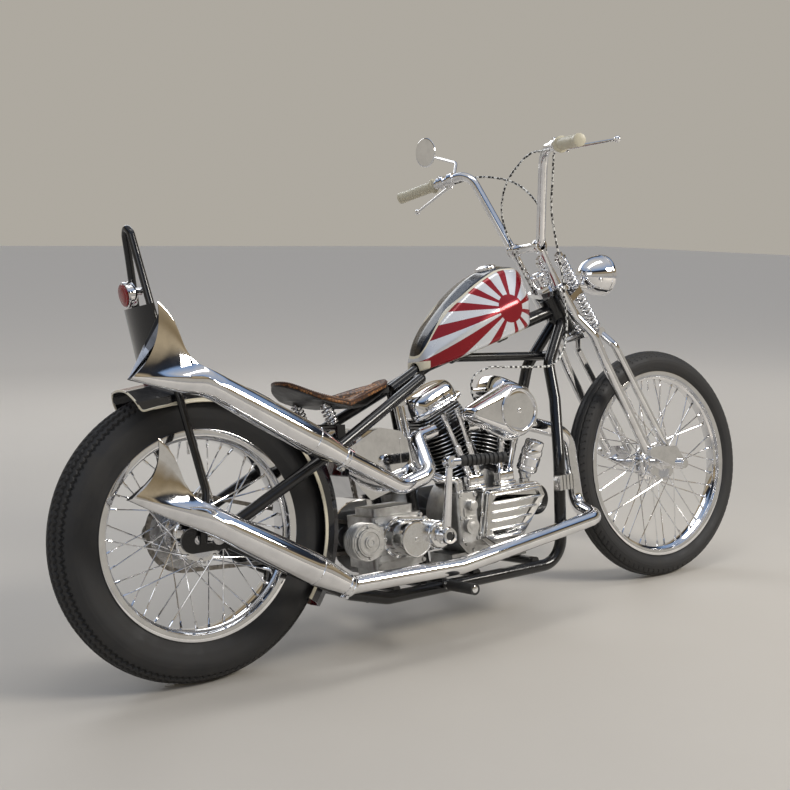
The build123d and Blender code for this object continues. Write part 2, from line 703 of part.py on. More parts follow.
def rocker_covers():
    """A pressed cover over each head: a flat base ring and a domed lid with rounded corners."""
    covers = []
    for side in (-1, 1):
        base = up_cylinder(side, COVER_BASE)
        flange = extrude(base * RectangleRounded(COVER_LENGTH, COVER_WIDTH, 34), amount=12)
        lid = extrude(base * RectangleRounded(COVER_LENGTH - 14, COVER_WIDTH - 14, 28), amount=COVER_TOP - COVER_BASE)
        top = lid.faces().sort_by(lambda face: face.center().dot(base.z_dir))[-1]
        covers.append(flange.fuse(fillet(top.edges(), 14)))
    return joined(covers)


# foot x, top x, top z, foot y, top y
PUSHRODS = (
    (742, 676, 562, -86, -76),
    (770, 724, 572, -86, -74),
    (842, 880, 572, -86, -74),
    (872, 938, 562, -86, -76),
)
TAPPET_TOP = 394.0


def pushrods(grow):
    """The four pushrod tubes, each with a step halfway up, made larger by this clearance."""
    pieces = []
    for foot_x, top_x, top_z, foot_y, top_y in PUSHRODS:
        foot = Vector(foot_x, foot_y, TAPPET_TOP - 4)
        top = Vector(top_x, top_y, top_z)
        middle = foot + (top - foot) * 0.5
        pieces.append(rod(foot, middle, 10.5 + grow).fuse(rod(middle, top, 8.5 + grow)))
    return joined(pieces)


def pushrod_tubes():
    """Four covered pushrods, standing in pairs on two tappet blocks."""
    blocks = [block((x - 31, -100, GEAR_CASE_TOP + SEAT_GAP), (x + 31, -68, TAPPET_TOP), 8) for x in (756, 857)]
    return joined([pushrods(0.0)] + blocks)


AIR_CLEANER_X = 812.0
AIR_CLEANER_Y = -178.0
AIR_CLEANER_Z = 556.0
AIR_CLEANER_T = 46.0
AIR_CLEANER_R = 75.0


def carburettor(barrels):
    """The carburettor body in the vee, with its bowl below and its throat to the air cleaner."""
    throat = across(ENGINE_X, AIR_CLEANER_Z, -40, AIR_CLEANER_Y + SEAT_GAP, 24)
    bowl = block((784, -159, 495), (846, -97, 545), 12)
    manifold = rod((ENGINE_X - 36, -34, 520), (ENGINE_X + 36, -34, 520), 18)
    return joined([throat, bowl, manifold]) - barrels


def air_cleaner():
    """A teardrop air cleaner: a round drum drawn out to a blunt point at the rear, with a raised ring on its face."""
    plane = Plane(origin=(AIR_CLEANER_X, AIR_CLEANER_Y, AIR_CLEANER_Z), x_dir=(-1, 0, 0), z_dir=(0, -1, 0))
    outline = make_hull((Circle(AIR_CLEANER_R) + Pos(128, 4) * Circle(20)).edges())
    brow = make_hull((Circle(AIR_CLEANER_R - 13) + Pos(118, 4) * Circle(11)).edges())
    back = extrude(plane * outline, amount=12)
    front = loft([raised(plane, 12) * outline, raised(plane, AIR_CLEANER_T) * brow])
    ring_part = extrude(raised(plane, AIR_CLEANER_T) * (Circle(58) - Circle(26)), amount=5)
    return joined([back, front, ring_part])


def ignition_timer():
    """The upright timer on the gear case: a turned body under a round cap."""
    stem = rod((926, -84, GEAR_CASE_TOP + SEAT_GAP), (926, -84, 392), 15)
    body = rod((929, -90, 384), (943, -112, 448), 29)
    cap = rod((943, -112, 447), (948, -119, 470), 26)
    return joined([stem, body, cap])


def generator():
    """The generator drum across the front of the crankcase, on a short saddle."""
    drum = across(988, 300, -CASE_HALF + 2, 96, 42)
    saddle = block((925, -30, 276), (960, 50, 318))
    return drum.fuse(saddle) - across(ENGINE_X, ENGINE_Z, -200, 200, CASE_R + SEAT_GAP)


def regulator():
    """A small finned regulator carried on a boss from the right down tube."""
    body = block((982, -165, 328), (1034, -139, 368))
    boss = block((1008, -142, 338), (1032, -122, 358))
    grooves = [block((x, -167, 320), (x + 5, -158, 380)) for x in (990, 1002, 1014, 1026)]
    body = body.fuse(boss) - down_tube(RAIL_R + SEAT_GAP)
    return body - joined(grooves)


def oil_pump():
    """The cast pump body on the rear of the gear case."""
    body = block((670, -121, 228), (734, -CASE_HALF - SEAT_GAP, 356), 10)
    bosses = [across(702, 270, -120, -136, 20), across(710, 322, -120, -134, 14)]
    return joined([body] + bosses)


# Transmission

def gearbox():
    """The four-speed gearbox case, closed, with its cast lid, its foot and the chain's front sprocket."""
    case = block((433, -GEARBOX_SIDE, 193), (583, 50, 323), 16)
    lid = block((448, -70, 320), (568, 30, 343), 12)
    foot = block((455, -50, GEARBOX_FOOT_Z), (565, 40, 200))
    shaft = across(OUTPUT_X, GEARBOX_Z, 40, 78, 14)
    radius = FRONT_PITCH_R - CHAIN_BAND / 2 - SEAT_GAP
    sprocket = across(OUTPUT_X, GEARBOX_Z, CHAIN_Y - SPROCKET_T / 2, CHAIN_Y + SPROCKET_T / 2, radius)
    return joined([case, lid, foot, shaft, sprocket])


COVER_FACE = GEARBOX_SIDE + SEAT_GAP
KICK_FACE = 186.0


def kicker_cover():
    """The side cover of the gearbox: clutch release drum and the kick shaft's ribbed housing."""
    outline = make_hull((Pos(500, 268) * Circle(52) + Pos(KICK_X, KICK_Z) * Circle(42)).edges())
    base = extrude(side_plane(-COVER_FACE) * outline, amount=44)
    drum = across(500, 268, -128, -178, 33)
    housing = across(KICK_X, KICK_Z, -128, -KICK_FACE, 34)
    rings = [across(KICK_X, KICK_Z, y, y - 5, 38) for y in (-136, -150, -164, -178)]
    return joined([base, drum, housing] + rings)


def kick_starter():
    """The kick-starter crank: a hub on its shaft, a tapered arm and a folding pedal with a ribbed rubber."""
    elbow = Vector(562, -254, 452)
    tip = Vector(700, -290, 450)
    hub = across(KICK_X, KICK_Z, -KICK_FACE - SEAT_GAP, -222, 20)
    arm = cone((KICK_X, -210, KICK_Z), (562, -246, 452), 12, 9)
    knuckle = across(562, 452, -236, -262, 15)
    ribs = beads(elbow, tip, 14, 9, [0.28 + 0.09 * index for index in range(8)])
    return joined([hub, arm, knuckle, rod(elbow, tip, 9)] + ribs)


def starter_motor():
    """The cast housing behind the gearbox: a stepped drum beside the mudguard, with a neck to the case."""
    steps = [across(381, 276, -98, -142, 45), across(381, 276, -141, -150, 34), across(381, 276, -149, -155, 16)]
    neck = block((400, -130, 246), (433 - SEAT_GAP, -70, 306))
    return joined(steps + [neck])


PRIMARY_Y = 88.0
PRIMARY_T = 36.0
PRIMARY_DOME = 14.0


def primary_cover():
    """The long polished cover over the primary drive on the left, rounded at both ends."""
    outline = make_hull((Pos(GEARBOX_X, GEARBOX_Z) * Circle(98) + Pos(ENGINE_X, ENGINE_Z) * Circle(84)).edges())
    back = extrude(side_plane(PRIMARY_Y) * outline, amount=-PRIMARY_T)
    dome = extrude(side_plane(PRIMARY_Y + PRIMARY_T) * offset(outline, amount=-10), amount=-PRIMARY_DOME)
    mount = across(ENGINE_X, ENGINE_Z, CASE_HALF + SEAT_GAP, PRIMARY_Y + 2, 60)
    return joined([back, dome, mount])


def drive_chain():
    """The rear chain as one closed loop round both sprockets."""
    big = Pos(0, REAR_Z) * Circle(REAR_PITCH_R + CHAIN_BAND / 2)
    small = Pos(OUTPUT_X, GEARBOX_Z) * Circle(FRONT_PITCH_R + CHAIN_BAND / 2)
    outer = make_hull((big + small).edges())
    loop = outer - offset(outer, amount=-CHAIN_BAND)
    return extrude(side_plane(CHAIN_Y) * loop, amount=CHAIN_HALF, both=True)


def rear_sprocket():
    """The rear sprocket on its drum, bolted to the hub's left flange."""
    low = REAR_HUB[1] + FLANGE_HALF + SEAT_GAP
    radius = REAR_PITCH_R - CHAIN_BAND / 2 - SEAT_GAP
    disc = across(0, REAR_Z, CHAIN_Y - SPROCKET_T / 2, CHAIN_Y + SPROCKET_T / 2, radius)
    drum = across(0, REAR_Z, low, CHAIN_Y, 58)
    bore = across(0, REAR_Z, low - 10, CHAIN_Y + 10, 26)
    return disc.fuse(drum) - bore


# Oil tank, battery and lines

# x, z round the oil tank's side
OIL_TANK_SIDE = (
    (364, 436), (364, 502), (444, 540), (466, 545), (522, 532),
    (542, 505), (542, 440), (502, 392), (421, 370),
)
OIL_TANK_HALF = 106.0
OIL_TANK_WELL = 58.0


def oil_tank():
    """A horseshoe oil tank round the battery, its rear hollowed to hug the mudguard."""
    side = fillet(make_face(Polyline(*OIL_TANK_SIDE, close=True)).vertices(), 8.0)
    body = extrude(side_plane(0) * side, amount=OIL_TANK_HALF, both=True)
    well = block((430, -OIL_TANK_WELL, 340), (600, OIL_TANK_WELL, 600))
    body = body - well - fender_solid(FENDER_ROOM)
    pad = block((392, -104, 506), (408, -90, 534)) - stay(STAY_R + SEAT_GAP)
    return joined([body] + both_sides(pad))


def battery():
    """The battery in the horseshoe, a plain closed block."""
    return block((442, -42, TRAY_Z + SEAT_GAP), (526, 42, 527), 8)


# one row of corner points per oil line, from the fitting by the seat post down to the pump
OIL_LINES = (
    ((560, -34, 600), (580, -50, 430), (645, -92, 392), (694, -92, 388), (694, -92, 356.3)),
    ((578, -34, 600), (600, -50, 430), (660, -76, 398), (714, -78, 388), (714, -78, 356.3)),
)
OIL_LINE_BENDS = (40.0, 30.0, 12.0)
OIL_LINE_R = 7.0


def oil_lines():
    """Two braided oil lines from a fitting by the seat post down to the pump."""
    fitting = block((549, -46, 592), (589, -STAY_R - SEAT_GAP, 610), 4)
    return joined([fitting] + [tube(points, OIL_LINE_BENDS, OIL_LINE_R) for points in OIL_LINES])


# Exhausts

# front end of the muffler, length of its round body, and the fishtail's two tips as (back, up) from the body's end
UPPER_MUFFLER = ((318, -172, 486), 350.0, (217, 105), (202, -78))
LOWER_MUFFLER = ((286, -196, 194), 340.0, (230, 107), (235, -39))
UPPER_PIPE = ((650, -62, 520), (590, -74, 508), (572, -146, 420), (480, -154, 398), UPPER_MUFFLER[0])
UPPER_BENDS = (26.0, 40.0, 60.0)
LOWER_PIPE = (
    (985, -40, 512), (1128, -44, 470), (1136, -54, 262),
    (1112, -158, 240), (613, -190, 187), LOWER_MUFFLER[0],
)
LOWER_BENDS = (60.0, 50.0, 40.0, 60.0)
TAIL_HALF_THICK = 13.0


def muffler(front, body_length, top_tip, low_tip):
    """A tapered muffler that runs up to the rear and ends in a fishtail with two swept tips."""
    angle = math.radians(MUFFLER_SLOPE)
    back = Vector(-math.cos(angle), 0, math.sin(angle))
    up = Vector(math.sin(angle), 0, math.cos(angle))
    front = Vector(*front)
    neck = front + back * body_length
    clamp = rod(front - back * 8, front + back * 10, PIPE_R + 5)
    nose = cone(front + back * 4, front + back * 95, PIPE_R + 2, MUFFLER_R)
    body = cone(front + back * 95, neck + back * 4, MUFFLER_R, MUFFLER_R - 5)
    reach = max(top_tip[0], low_tip[0])
    tall = top_tip[1] - low_tip[1]
    centre_up = (top_tip[1] + low_tip[1]) / 2
    sections = []
    for share, width, height, lift in (
        (0.0, 2 * MUFFLER_R - 10, 2 * MUFFLER_R - 10, 0.0),
        (0.5, 1.5 * MUFFLER_R, tall * 0.66, centre_up * 0.45),
        (1.0, 2 * TAIL_HALF_THICK, tall + 24, centre_up),
    ):
        plane = Plane(origin=neck + back * (reach * share) + up * lift, x_dir=(0, 1, 0), z_dir=back)
        sections.append(plane * RectangleRounded(width, height, min(width, height) * 0.47))
    fan = loft(sections, ruled=False)
    low_corner = -MUFFLER_R + 4
    top_middle = (top_tip[0] * 0.5, MUFFLER_R + (top_tip[1] - MUFFLER_R) * 0.3)
    top_edge = ThreePointArc((-30, MUFFLER_R), top_middle, top_tip)
    end_edge = ThreePointArc(top_tip, (low_tip[0] - 26, (top_tip[1] + low_tip[1]) / 2 + 8), low_tip)
    low_edge = Polyline(low_tip, (0, low_corner - 2), (-30, low_corner - 8), (-30, MUFFLER_R))
    outline = make_face(Wire([top_edge.edge(), end_edge.edge()] + low_edge.edges()))
    plane = Plane(origin=neck, x_dir=back, z_dir=back.cross(up))
    trimmed = fan & extrude(plane * outline, amount=60, both=True)
    return joined([clamp, nose, body, trimmed])


def upper_exhaust(barrels):
    """The rear cylinder's exhaust: a tight bend from the port, a straight rise and its muffler."""
    pipe = tube(UPPER_PIPE, UPPER_BENDS, PIPE_R) - barrels
    return pipe.fuse(muffler(*UPPER_MUFFLER))


def lower_exhaust(barrels):
    """The front cylinder's exhaust: down before the engine, back along the right side, up to its muffler."""
    pipe = tube(LOWER_PIPE, LOWER_BENDS, PIPE_R) - barrels
    return pipe.fuse(muffler(*LOWER_MUFFLER))


# Foot controls

PEG_X = 606.0
PEG_Z = 136.0


def foot_pegs():
    """A foot peg each side on a stub from the lower rail."""
    stub = across(PEG_X, PEG_Z, -118, -152, 8) - down_tube(RAIL_R + SEAT_GAP)
    peg = across(PEG_X, PEG_Z, -150, -250, 14)
    return joined(both_sides(stub.fuse(peg)))


# Fork

# along, ahead, across of the right rigid leg and of the right sprung leg
RIGID_LEG = ((655, 8, -56), (560, 12, -56), (490, 20, -80), (400, 10, -82), (95, 0, -82))
RIGID_BENDS = (80.0, 60.0, 80.0)
SPRUNG_LEG = ((470, 72, -46), (420, 74, -78), (46, 74, -80))
ROD_AHEAD = 72.0
ROD_ACROSS = 40.0
ROD_R = 6.0
PERCH_LOW = 604.0
PERCH_T = 18.0
# the upper tree lies this far over the steering head
TREE_GAP = 6.0
UPPER_TREE = HEAD_HIGH + TREE_GAP
TREE_T = 14.0
# low and high end of the lower and upper springs along the fork
SPRINGS = ((488.0, 603.0), (624.0, 722.0))
SPRING_R = 18.0
SPRING_TURNS = 9
ROCKER_Y = 99.0
ROCKER_T = 10.0
LUG_R = 12.0


def fork_plate(along, thick, discs):
    """A plate across the fork: the hull of these discs, each (ahead, across, radius)."""
    plane = Plane(origin=fork_point(along, 0, 0), x_dir=STEER_FORWARD, z_dir=STEER_UP)
    circles = [Pos(ahead, side) * Circle(radius) for ahead, side, radius in discs]
    sketch = circles[0]
    for circle in circles[1:]:
        sketch = sketch + circle
    return extrude(plane * make_hull(sketch.edges()), amount=thick)


def fork_rigid_legs():
    """The rigid fork: stem, lower and upper trees, spring perch and two legs that bow out over the tyre."""
    leg = tube([fork_point(*point) for point in RIGID_LEG], RIGID_BENDS, 14.0)
    stem = rod(fork_point(498, 0, 0), fork_point(668, 0, 0), STEM_R)
    lower = fork_plate(496.0, 16.0, ((0, 0, 26), (14, 60, 18), (14, -60, 18)))
    upper = fork_plate(UPPER_TREE, TREE_T, ((0, 0, 26), (12, 58, 19), (12, -58, 19)))
    bar = fork_plate(PERCH_LOW, PERCH_T, ((ROD_AHEAD, ROD_ACROSS, 16), (ROD_AHEAD, -ROD_ACROSS, 16)))
    arm = fork_plate(PERCH_LOW, PERCH_T, ((ROD_AHEAD, -ROD_ACROSS, 16), (12, -56, 12)))
    lug = rod(fork_point(95, 0, -80), fork_point(95, 0, -ROCKER_Y + SEAT_GAP), LUG_R)
    body = joined([stem, lower, upper, bar] + both_sides(leg) + both_sides(arm) + both_sides(lug))
    low, high = fork_point(590, ROD_AHEAD, -ROD_ACROSS), fork_point(640, ROD_AHEAD, -ROD_ACROSS)
    holes = both_sides(rod(low, high, ROD_R + SEAT_GAP))
    return body - joined(holes)


def fork_spring_legs():
    """The sprung fork: two tubes ahead of the rigid legs, joined by a bar under the springs, and the spring rods."""
    leg = tube([fork_point(*point) for point in SPRUNG_LEG], 40.0, 11.0)
    bridge = rod(fork_point(470, ROD_AHEAD, -60), fork_point(470, ROD_AHEAD, 60), 13.0)
    spring_rod = rod(fork_point(470, ROD_AHEAD, -ROD_ACROSS), fork_point(738, ROD_AHEAD, -ROD_ACROSS), ROD_R)
    nut_foot = fork_point(SPRINGS[1][1] + SEAT_GAP, ROD_AHEAD, -ROD_ACROSS)
    nut = rod(nut_foot, fork_point(734, ROD_AHEAD, -ROD_ACROSS), 12.0)
    lug = rod(fork_point(46, 74, -80), fork_point(46, 74, -ROCKER_Y + SEAT_GAP), LUG_R)
    return joined([bridge] + both_sides(leg) + both_sides(spring_rod) + both_sides(nut) + both_sides(lug))


def fork_springs():
    """Four coil springs on the rods, two below and two above the perch."""
    stacks = []
    for low, high in SPRINGS:
        start = fork_point(low, ROD_AHEAD, -ROD_ACROSS)
        end = fork_point(high, ROD_AHEAD, -ROD_ACROSS)
        shares = [0.04 + 0.92 * index / (SPRING_TURNS - 1) for index in range(SPRING_TURNS)]
        stack = joined([rod(start, end, 12.5)] + beads(start, end, SPRING_R, 6.0, shares))
        under = fork_point(low - 9, ROD_AHEAD, -ROD_ACROSS)
        hole = rod(under, fork_point(high + 9, ROD_AHEAD, -ROD_ACROSS), ROD_R + SEAT_GAP)
        stacks += both_sides(stack - hole)
    return joined(stacks)


def fork_rockers():
    """The two rockers at the wheel and the front axle through them, with its nuts."""
    discs = Pos(95, 0) * Circle(15) + Pos(46, 74) * Circle(15) + Pos(0, FORK_OFFSET) * Circle(18)
    outline = make_hull(discs.edges())
    plane = Plane(origin=fork_point(0, 0, ROCKER_Y), x_dir=STEER_UP, z_dir=(0, 1, 0))
    plate = extrude(plane * outline, amount=ROCKER_T)
    nut = rod(FRONT_AXLE + Vector(0, ROCKER_Y + ROCKER_T - 1, 0), FRONT_AXLE + Vector(0, 121, 0), 15.0)
    axle = rod(FRONT_AXLE - Vector(0, 124, 0), FRONT_AXLE + Vector(0, 124, 0), AXLE_R)
    return joined([axle] + both_sides(plate) + both_sides(nut))


def steering_damper():
    """The chrome stack over the head: stem nut, neck and round damper knob."""
    steps = ((660.3, 674.0, 21.0), (673.0, 700.0, 10.0), (699.0, 712.0, 24.0), (711.0, 718.0, 13.0))
    pieces = [rod(fork_point(low, 0, 0), fork_point(high, 0, 0), radius) for low, high, radius in steps]
    hole = rod(fork_point(655, 0, 0), fork_point(668.3, 0, 0), STEM_R + SEAT_GAP)
    return joined(pieces) - hole


# Handlebar and hand controls

BAR_END = Vector(929, -393, 1214)
BAR_BEND = Vector(1018, -165, 1248)
BAR_CLAMP = Vector(1073, -60, 1002)
GRIP_LENGTH = 120.0
GRIP_ALONG = (BAR_BEND - BAR_END).normalized()
LEVER_SEAT = BAR_END + GRIP_ALONG * 150
LEVER_CLEARANCE = 0.05
LEVER_CLAMP_HALF = 12.0
LEVER_CLAMP_R = 21.0


def left_of(point):
    """The same point on the bike's left side."""
    return Vector(point.X, -point.Y, point.Z)


def handlebar():
    """The tall handlebar: one bent tube from grip to grip."""
    right = [BAR_END, BAR_BEND, BAR_CLAMP]
    return tube(right + [left_of(point) for point in right[::-1]], (60.0, 34.0, 34.0, 60.0), BAR_R)


def risers():
    """A dog-bone riser each side, from the upper tree to the bar, joined by the clamp's cross piece."""
    seat_at = UPPER_TREE + TREE_T + SEAT_GAP
    pad = rod(fork_point(seat_at, 10, -50), fork_point(seat_at + 8, 10, -50), 15)
    side = cone(fork_point(seat_at + 5, 10, -50), fork_point(785, 10, -58), 13, 11).fuse(pad)
    clamp = rod(BAR_CLAMP + Vector(0, 18, 0), BAR_CLAMP - Vector(0, 6, 0), 20)
    cross = rod(BAR_CLAMP + Vector(0, 16, 0), left_of(BAR_CLAMP) - Vector(0, 16, 0), 17)
    return joined([cross] + both_sides(side) + both_sides(clamp)) - handlebar_room()


def handlebar_room():
    """The handlebar grown by the seat gap, cut out of what clamps it."""
    right = [BAR_END, BAR_BEND, BAR_CLAMP]
    return tube(right + [left_of(point) for point in right[::-1]], (60.0, 34.0, 34.0, 60.0), BAR_R + LEVER_CLEARANCE)


def grips():
    """A rubber grip on each end with a flange at its inner end."""
    grip = rod(BAR_END - GRIP_ALONG * 6, BAR_END + GRIP_ALONG * GRIP_LENGTH, GRIP_R)
    flange = rod(BAR_END + GRIP_ALONG * (GRIP_LENGTH - 4), BAR_END + GRIP_ALONG * (GRIP_LENGTH + 4), 22)
    bore = rod(BAR_END - GRIP_ALONG * LEVER_CLEARANCE, BAR_END + GRIP_ALONG * 140, BAR_R + LEVER_CLEARANCE)
    return joined(both_sides(grip.fuse(flange) - bore))


def hand_lever(seat_at, along, ball_at):
    """A bar clamp, its pivot arm and a ball-ended lever."""
    clamp = rod(seat_at - along * LEVER_CLAMP_HALF, seat_at + along * LEVER_CLAMP_HALF, LEVER_CLAMP_R)
    bore = rod(seat_at - along * 20, seat_at + along * 20, BAR_R + LEVER_CLEARANCE)
    pivot = seat_at + Vector(36, 0, -6)
    arm = rod(seat_at + Vector(20, 0, -3), pivot, 9)
    return joined([clamp - bore, arm, rod(pivot, ball_at, 5), Pos(*ball_at) * Sphere(9)])


RIGHT_LEVER_BALL = Vector(1058, -398, 1222)
LEFT_LEVER_BALL = Vector(985, 392, 1172)


def hand_levers():
    """A brake lever on the right and a clutch lever on the left, each on its clamp."""
    left_along = left_of(GRIP_ALONG)
    right = hand_lever(LEVER_SEAT, GRIP_ALONG, RIGHT_LEVER_BALL)
    return right.fuse(hand_lever(left_of(LEVER_SEAT), left_along, LEFT_LEVER_BALL))


MIRROR_AT = Vector(1060, 425, 1366)


def rear_view_mirror():
    """A round mirror on a bent stem from the left side of the bar, facing back."""
    foot = left_of(BAR_END + GRIP_ALONG * 185)
    along = left_of(GRIP_ALONG)
    bar_hole = rod(foot - along * 20, foot + along * 20, BAR_R + LEVER_CLEARANCE)
    clamp = rod(foot - along * 9, foot + along * 9, 19) - bar_hole
    stem = tube([foot + Vector(10, 0, 12), (1040, 250, 1296), MIRROR_AT + Vector(10, -6, -12)], 30.0, 5.0)
    disc = Plane(origin=MIRROR_AT, z_dir=(1, 0.1, 0.05)) * Cylinder(46, 12)
    return joined([clamp, stem, disc])


# Control cables: corners along each run; a cable's sheath starts on the face of its lever's clamp

CABLE_R = 3.0
CABLE_RUN = 0.45
CABLE_FROM = LEVER_SEAT + GRIP_ALONG * (LEVER_CLAMP_HALF + SEAT_GAP)
CABLE_LEAD = GRIP_ALONG * 44
BRAKE_ASIDE = Vector(-13.2, 6.5, -9.2)
THROTTLE_ASIDE = Vector(12.2, -3.0, -11.7)
TREE_TOP = UPPER_TREE + TREE_T + 0.7
# the throttle cable passes from the fork to the frame beside the steering head
CABLE_SPLIT = 631.0
CABLE_SPLIT_HALF = 3.0
CLUTCH_CABLE = (
    left_of(LEVER_SEAT + Vector(30, 10.4, -5)),
    (1043, 146, 1238), (1088, 34, 1200), (1096, -52, 1112), (1100, -48, 1016),
    fork_point(722, 24, -36), fork_point(TREE_TOP, 18, -31),
)
BRAKE_CABLE = (
    CABLE_FROM + BRAKE_ASIDE, CABLE_FROM + CABLE_LEAD + BRAKE_ASIDE,
    (998, -128, 1244), (956, -72, 1178), (992, 8, 1102), (1046, 32, 1008),
    fork_point(704, -11, 33), fork_point(TREE_TOP, -8, 31),
)
THROTTLE_CABLE = (
    CABLE_FROM + THROTTLE_ASIDE, CABLE_FROM + CABLE_LEAD + THROTTLE_ASIDE,
    (1034, -176, 1176), (1066, -120, 1090), (1108, -88, 1000), (1126, -84, 888),
    fork_point(CABLE_SPLIT + CABLE_SPLIT_HALF, -14, -79),
)
CARBURETTOR_CABLE = (
    fork_point(CABLE_SPLIT - CABLE_SPLIT_HALF, -16, -79), (1136, -76, 782), (1112, -80, 700), (1050, -94, 662),
    (900, -130, 667), (790, -140, 674), (738, -127, 652), (752, -112, 592), (793, -110, 566.5),
)


def cable(points):
    """A sheathed cable along these corners, each rounded by as large an arc as its shorter run allows."""
    corners = [Vector(*point) for point in points]
    radii = []
    for before, corner, after in zip(corners, corners[1:], corners[2:]):
        run = min((corner - before).length, (after - corner).length)
        turn = math.radians((corner - before).get_angle(after - corner))
        radii.append(CABLE_RUN * run / math.tan(turn / 2))
    length = sum((after - corner).length for corner, after in zip(corners, corners[1:]))
    print("cable of about", round(length), "mm, bend radii", [round(radius) for radius in radii])
    return tube(points, radii, CABLE_R)


def control_cables():
    """The clutch, brake and throttle cables on the fork, from the levers down to the upper tree."""
    return joined([cable(points) for points in (CLUTCH_CABLE, BRAKE_CABLE, THROTTLE_CABLE)])


def carburettor_cable():
    """The throttle cable's lower run on the frame, from beside the steering head back to the carburettor."""
    return cable(CARBURETTOR_CABLE)


# Headlamp

LAMP_Z = 922.0
# radius, distance ahead of the shell's back
LAMP_SHELL = ((0, 0), (20, 4), (44, 30), (58, 66), (61, 84), (61, 92), (0, 92))
LAMP_BACK_X = 1268.0


def headlight():
    """A bullet headlamp shell on a bracket from the spring perch."""
    profile = make_face(Polyline(*LAMP_SHELL, close=True))
    shell = Plane(origin=(LAMP_BACK_X, 0, LAMP_Z), z_dir=(1, 0, 0)) * revolve(Plane.XZ * profile, Axis.Z)
    front = ROD_AHEAD + 16 + SEAT_GAP
    stalk = tube([fork_point(613, front, 0), fork_point(613, 112, 0), (1292, 0, 888)], 14.0, 8.0)
    return shell.fuse(stalk)


def headlight_lens():
    """The round lens in the lamp's rim."""
    face_x = LAMP_BACK_X + LAMP_SHELL[-1][1]
    return rod((face_x + SEAT_GAP, 0, LAMP_Z), (face_x + 8, 0, LAMP_Z), 54)


# Stand

def side_stand():
    """The side stand: a leg from its pivot on the left rail down to a flat foot on the ground."""
    across_pin = STAND_AXIS * STAND_KNUCKLE_HALF
    knuckle = rod(STAND_PIVOT - across_pin, STAND_PIVOT + across_pin, STAND_KNUCKLE_R)
    leg = cone(STAND_PIVOT + STAND_DOWN * 4, STAND_FOOT + GROUND_UP * 10, 7.4, 10)
    pad = extrude(Plane(origin=STAND_FOOT, x_dir=GROUND_LEFT, z_dir=GROUND_UP) * SlotOverall(66, 32), amount=8)
    bore = rod(STAND_PIVOT - STAND_AXIS * 30, STAND_PIVOT + STAND_AXIS * 30, STAND_PIN_R + BEARING_CLEARANCE)
    return joined([knuckle, leg, pad]) - bore


# Assembly

PLAIN_NODES = (
    frame, rear_axle, fuel_tank, filler_cap, seat, seat_pan, seat_springs, rear_fender, sissy_bar, tail_light,
    tail_lens, number_plate, crankcase, gear_case, timing_cover, oil_pump, rocker_covers, pushrod_tubes,
    air_cleaner, ignition_timer, generator, regulator, gearbox, kicker_cover, kick_starter, starter_motor,
    primary_cover, drive_chain, rear_sprocket, oil_tank, battery, oil_lines, foot_pegs, fork_rigid_legs,
    fork_spring_legs, fork_springs, fork_rockers, steering_damper, risers, handlebar, grips, hand_levers,
    rear_view_mirror, control_cables, carburettor_cable, headlight, headlight_lens, side_stand,
)


def upright_nodes():
    """Every node in the upright bike's frame, by name."""
    barrels = cylinders()
    nodes = {
        "rear_tyre": tyre(REAR_TYRE_R, REAR_TYRE_HALF, REAR_RIM_R, REAR_RIM_HALF, REAR_AXLE),
        "rear_rim": rim(REAR_RIM_R, REAR_RIM_HALF, REAR_AXLE),
        "rear_spokes": spoked_hub(REAR_RIM_R, REAR_HUB, REAR_AXLE),
        "front_tyre": tyre(FRONT_TYRE_R, FRONT_TYRE_HALF, FRONT_RIM_R, FRONT_RIM_HALF, FRONT_AXLE),
        "front_rim": rim(FRONT_RIM_R, FRONT_RIM_HALF, FRONT_AXLE),
        "front_spokes": spoked_hub(FRONT_RIM_R, FRONT_HUB, FRONT_AXLE),
        "cylinders": barrels,
        "carburettor": carburettor(barrels),
        "upper_exhaust": upper_exhaust(barrels),
        "lower_exhaust": lower_exhaust(barrels),
    }
    for maker in PLAIN_NODES:
        nodes[maker.__name__] = maker()
    return nodes


def placement(leaned):
    """The shift that puts the middle of the bike's footprint at the origin."""
    boxes = [shape.bounding_box() for shape in leaned]
    middle = []
    for axis in ("X", "Y"):
        low = min(getattr(box.min, axis) for box in boxes)
        high = max(getattr(box.max, axis) for box in boxes)
        middle.append((low + high) / 2)
    return Vector(-middle[0], -middle[1], 0)


def main():
    os.makedirs("parts", exist_ok=True)
    leaned = {name: Rot(-LEAN, 0, 0) * shape for name, shape in upright_nodes().items()}
    shift = placement(leaned.values())
    print(f"origin shift {shift.X:.4f} {shift.Y:.4f} {shift.Z:.4f}")
    for name, shape in leaned.items():
        export_step(Pos(*shift) * shape, f"parts/{name}.step")


if __name__ == "__main__":
    main()
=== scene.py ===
import json
import math
import bpy
import numpy as np
from mathutils import Matrix, Vector

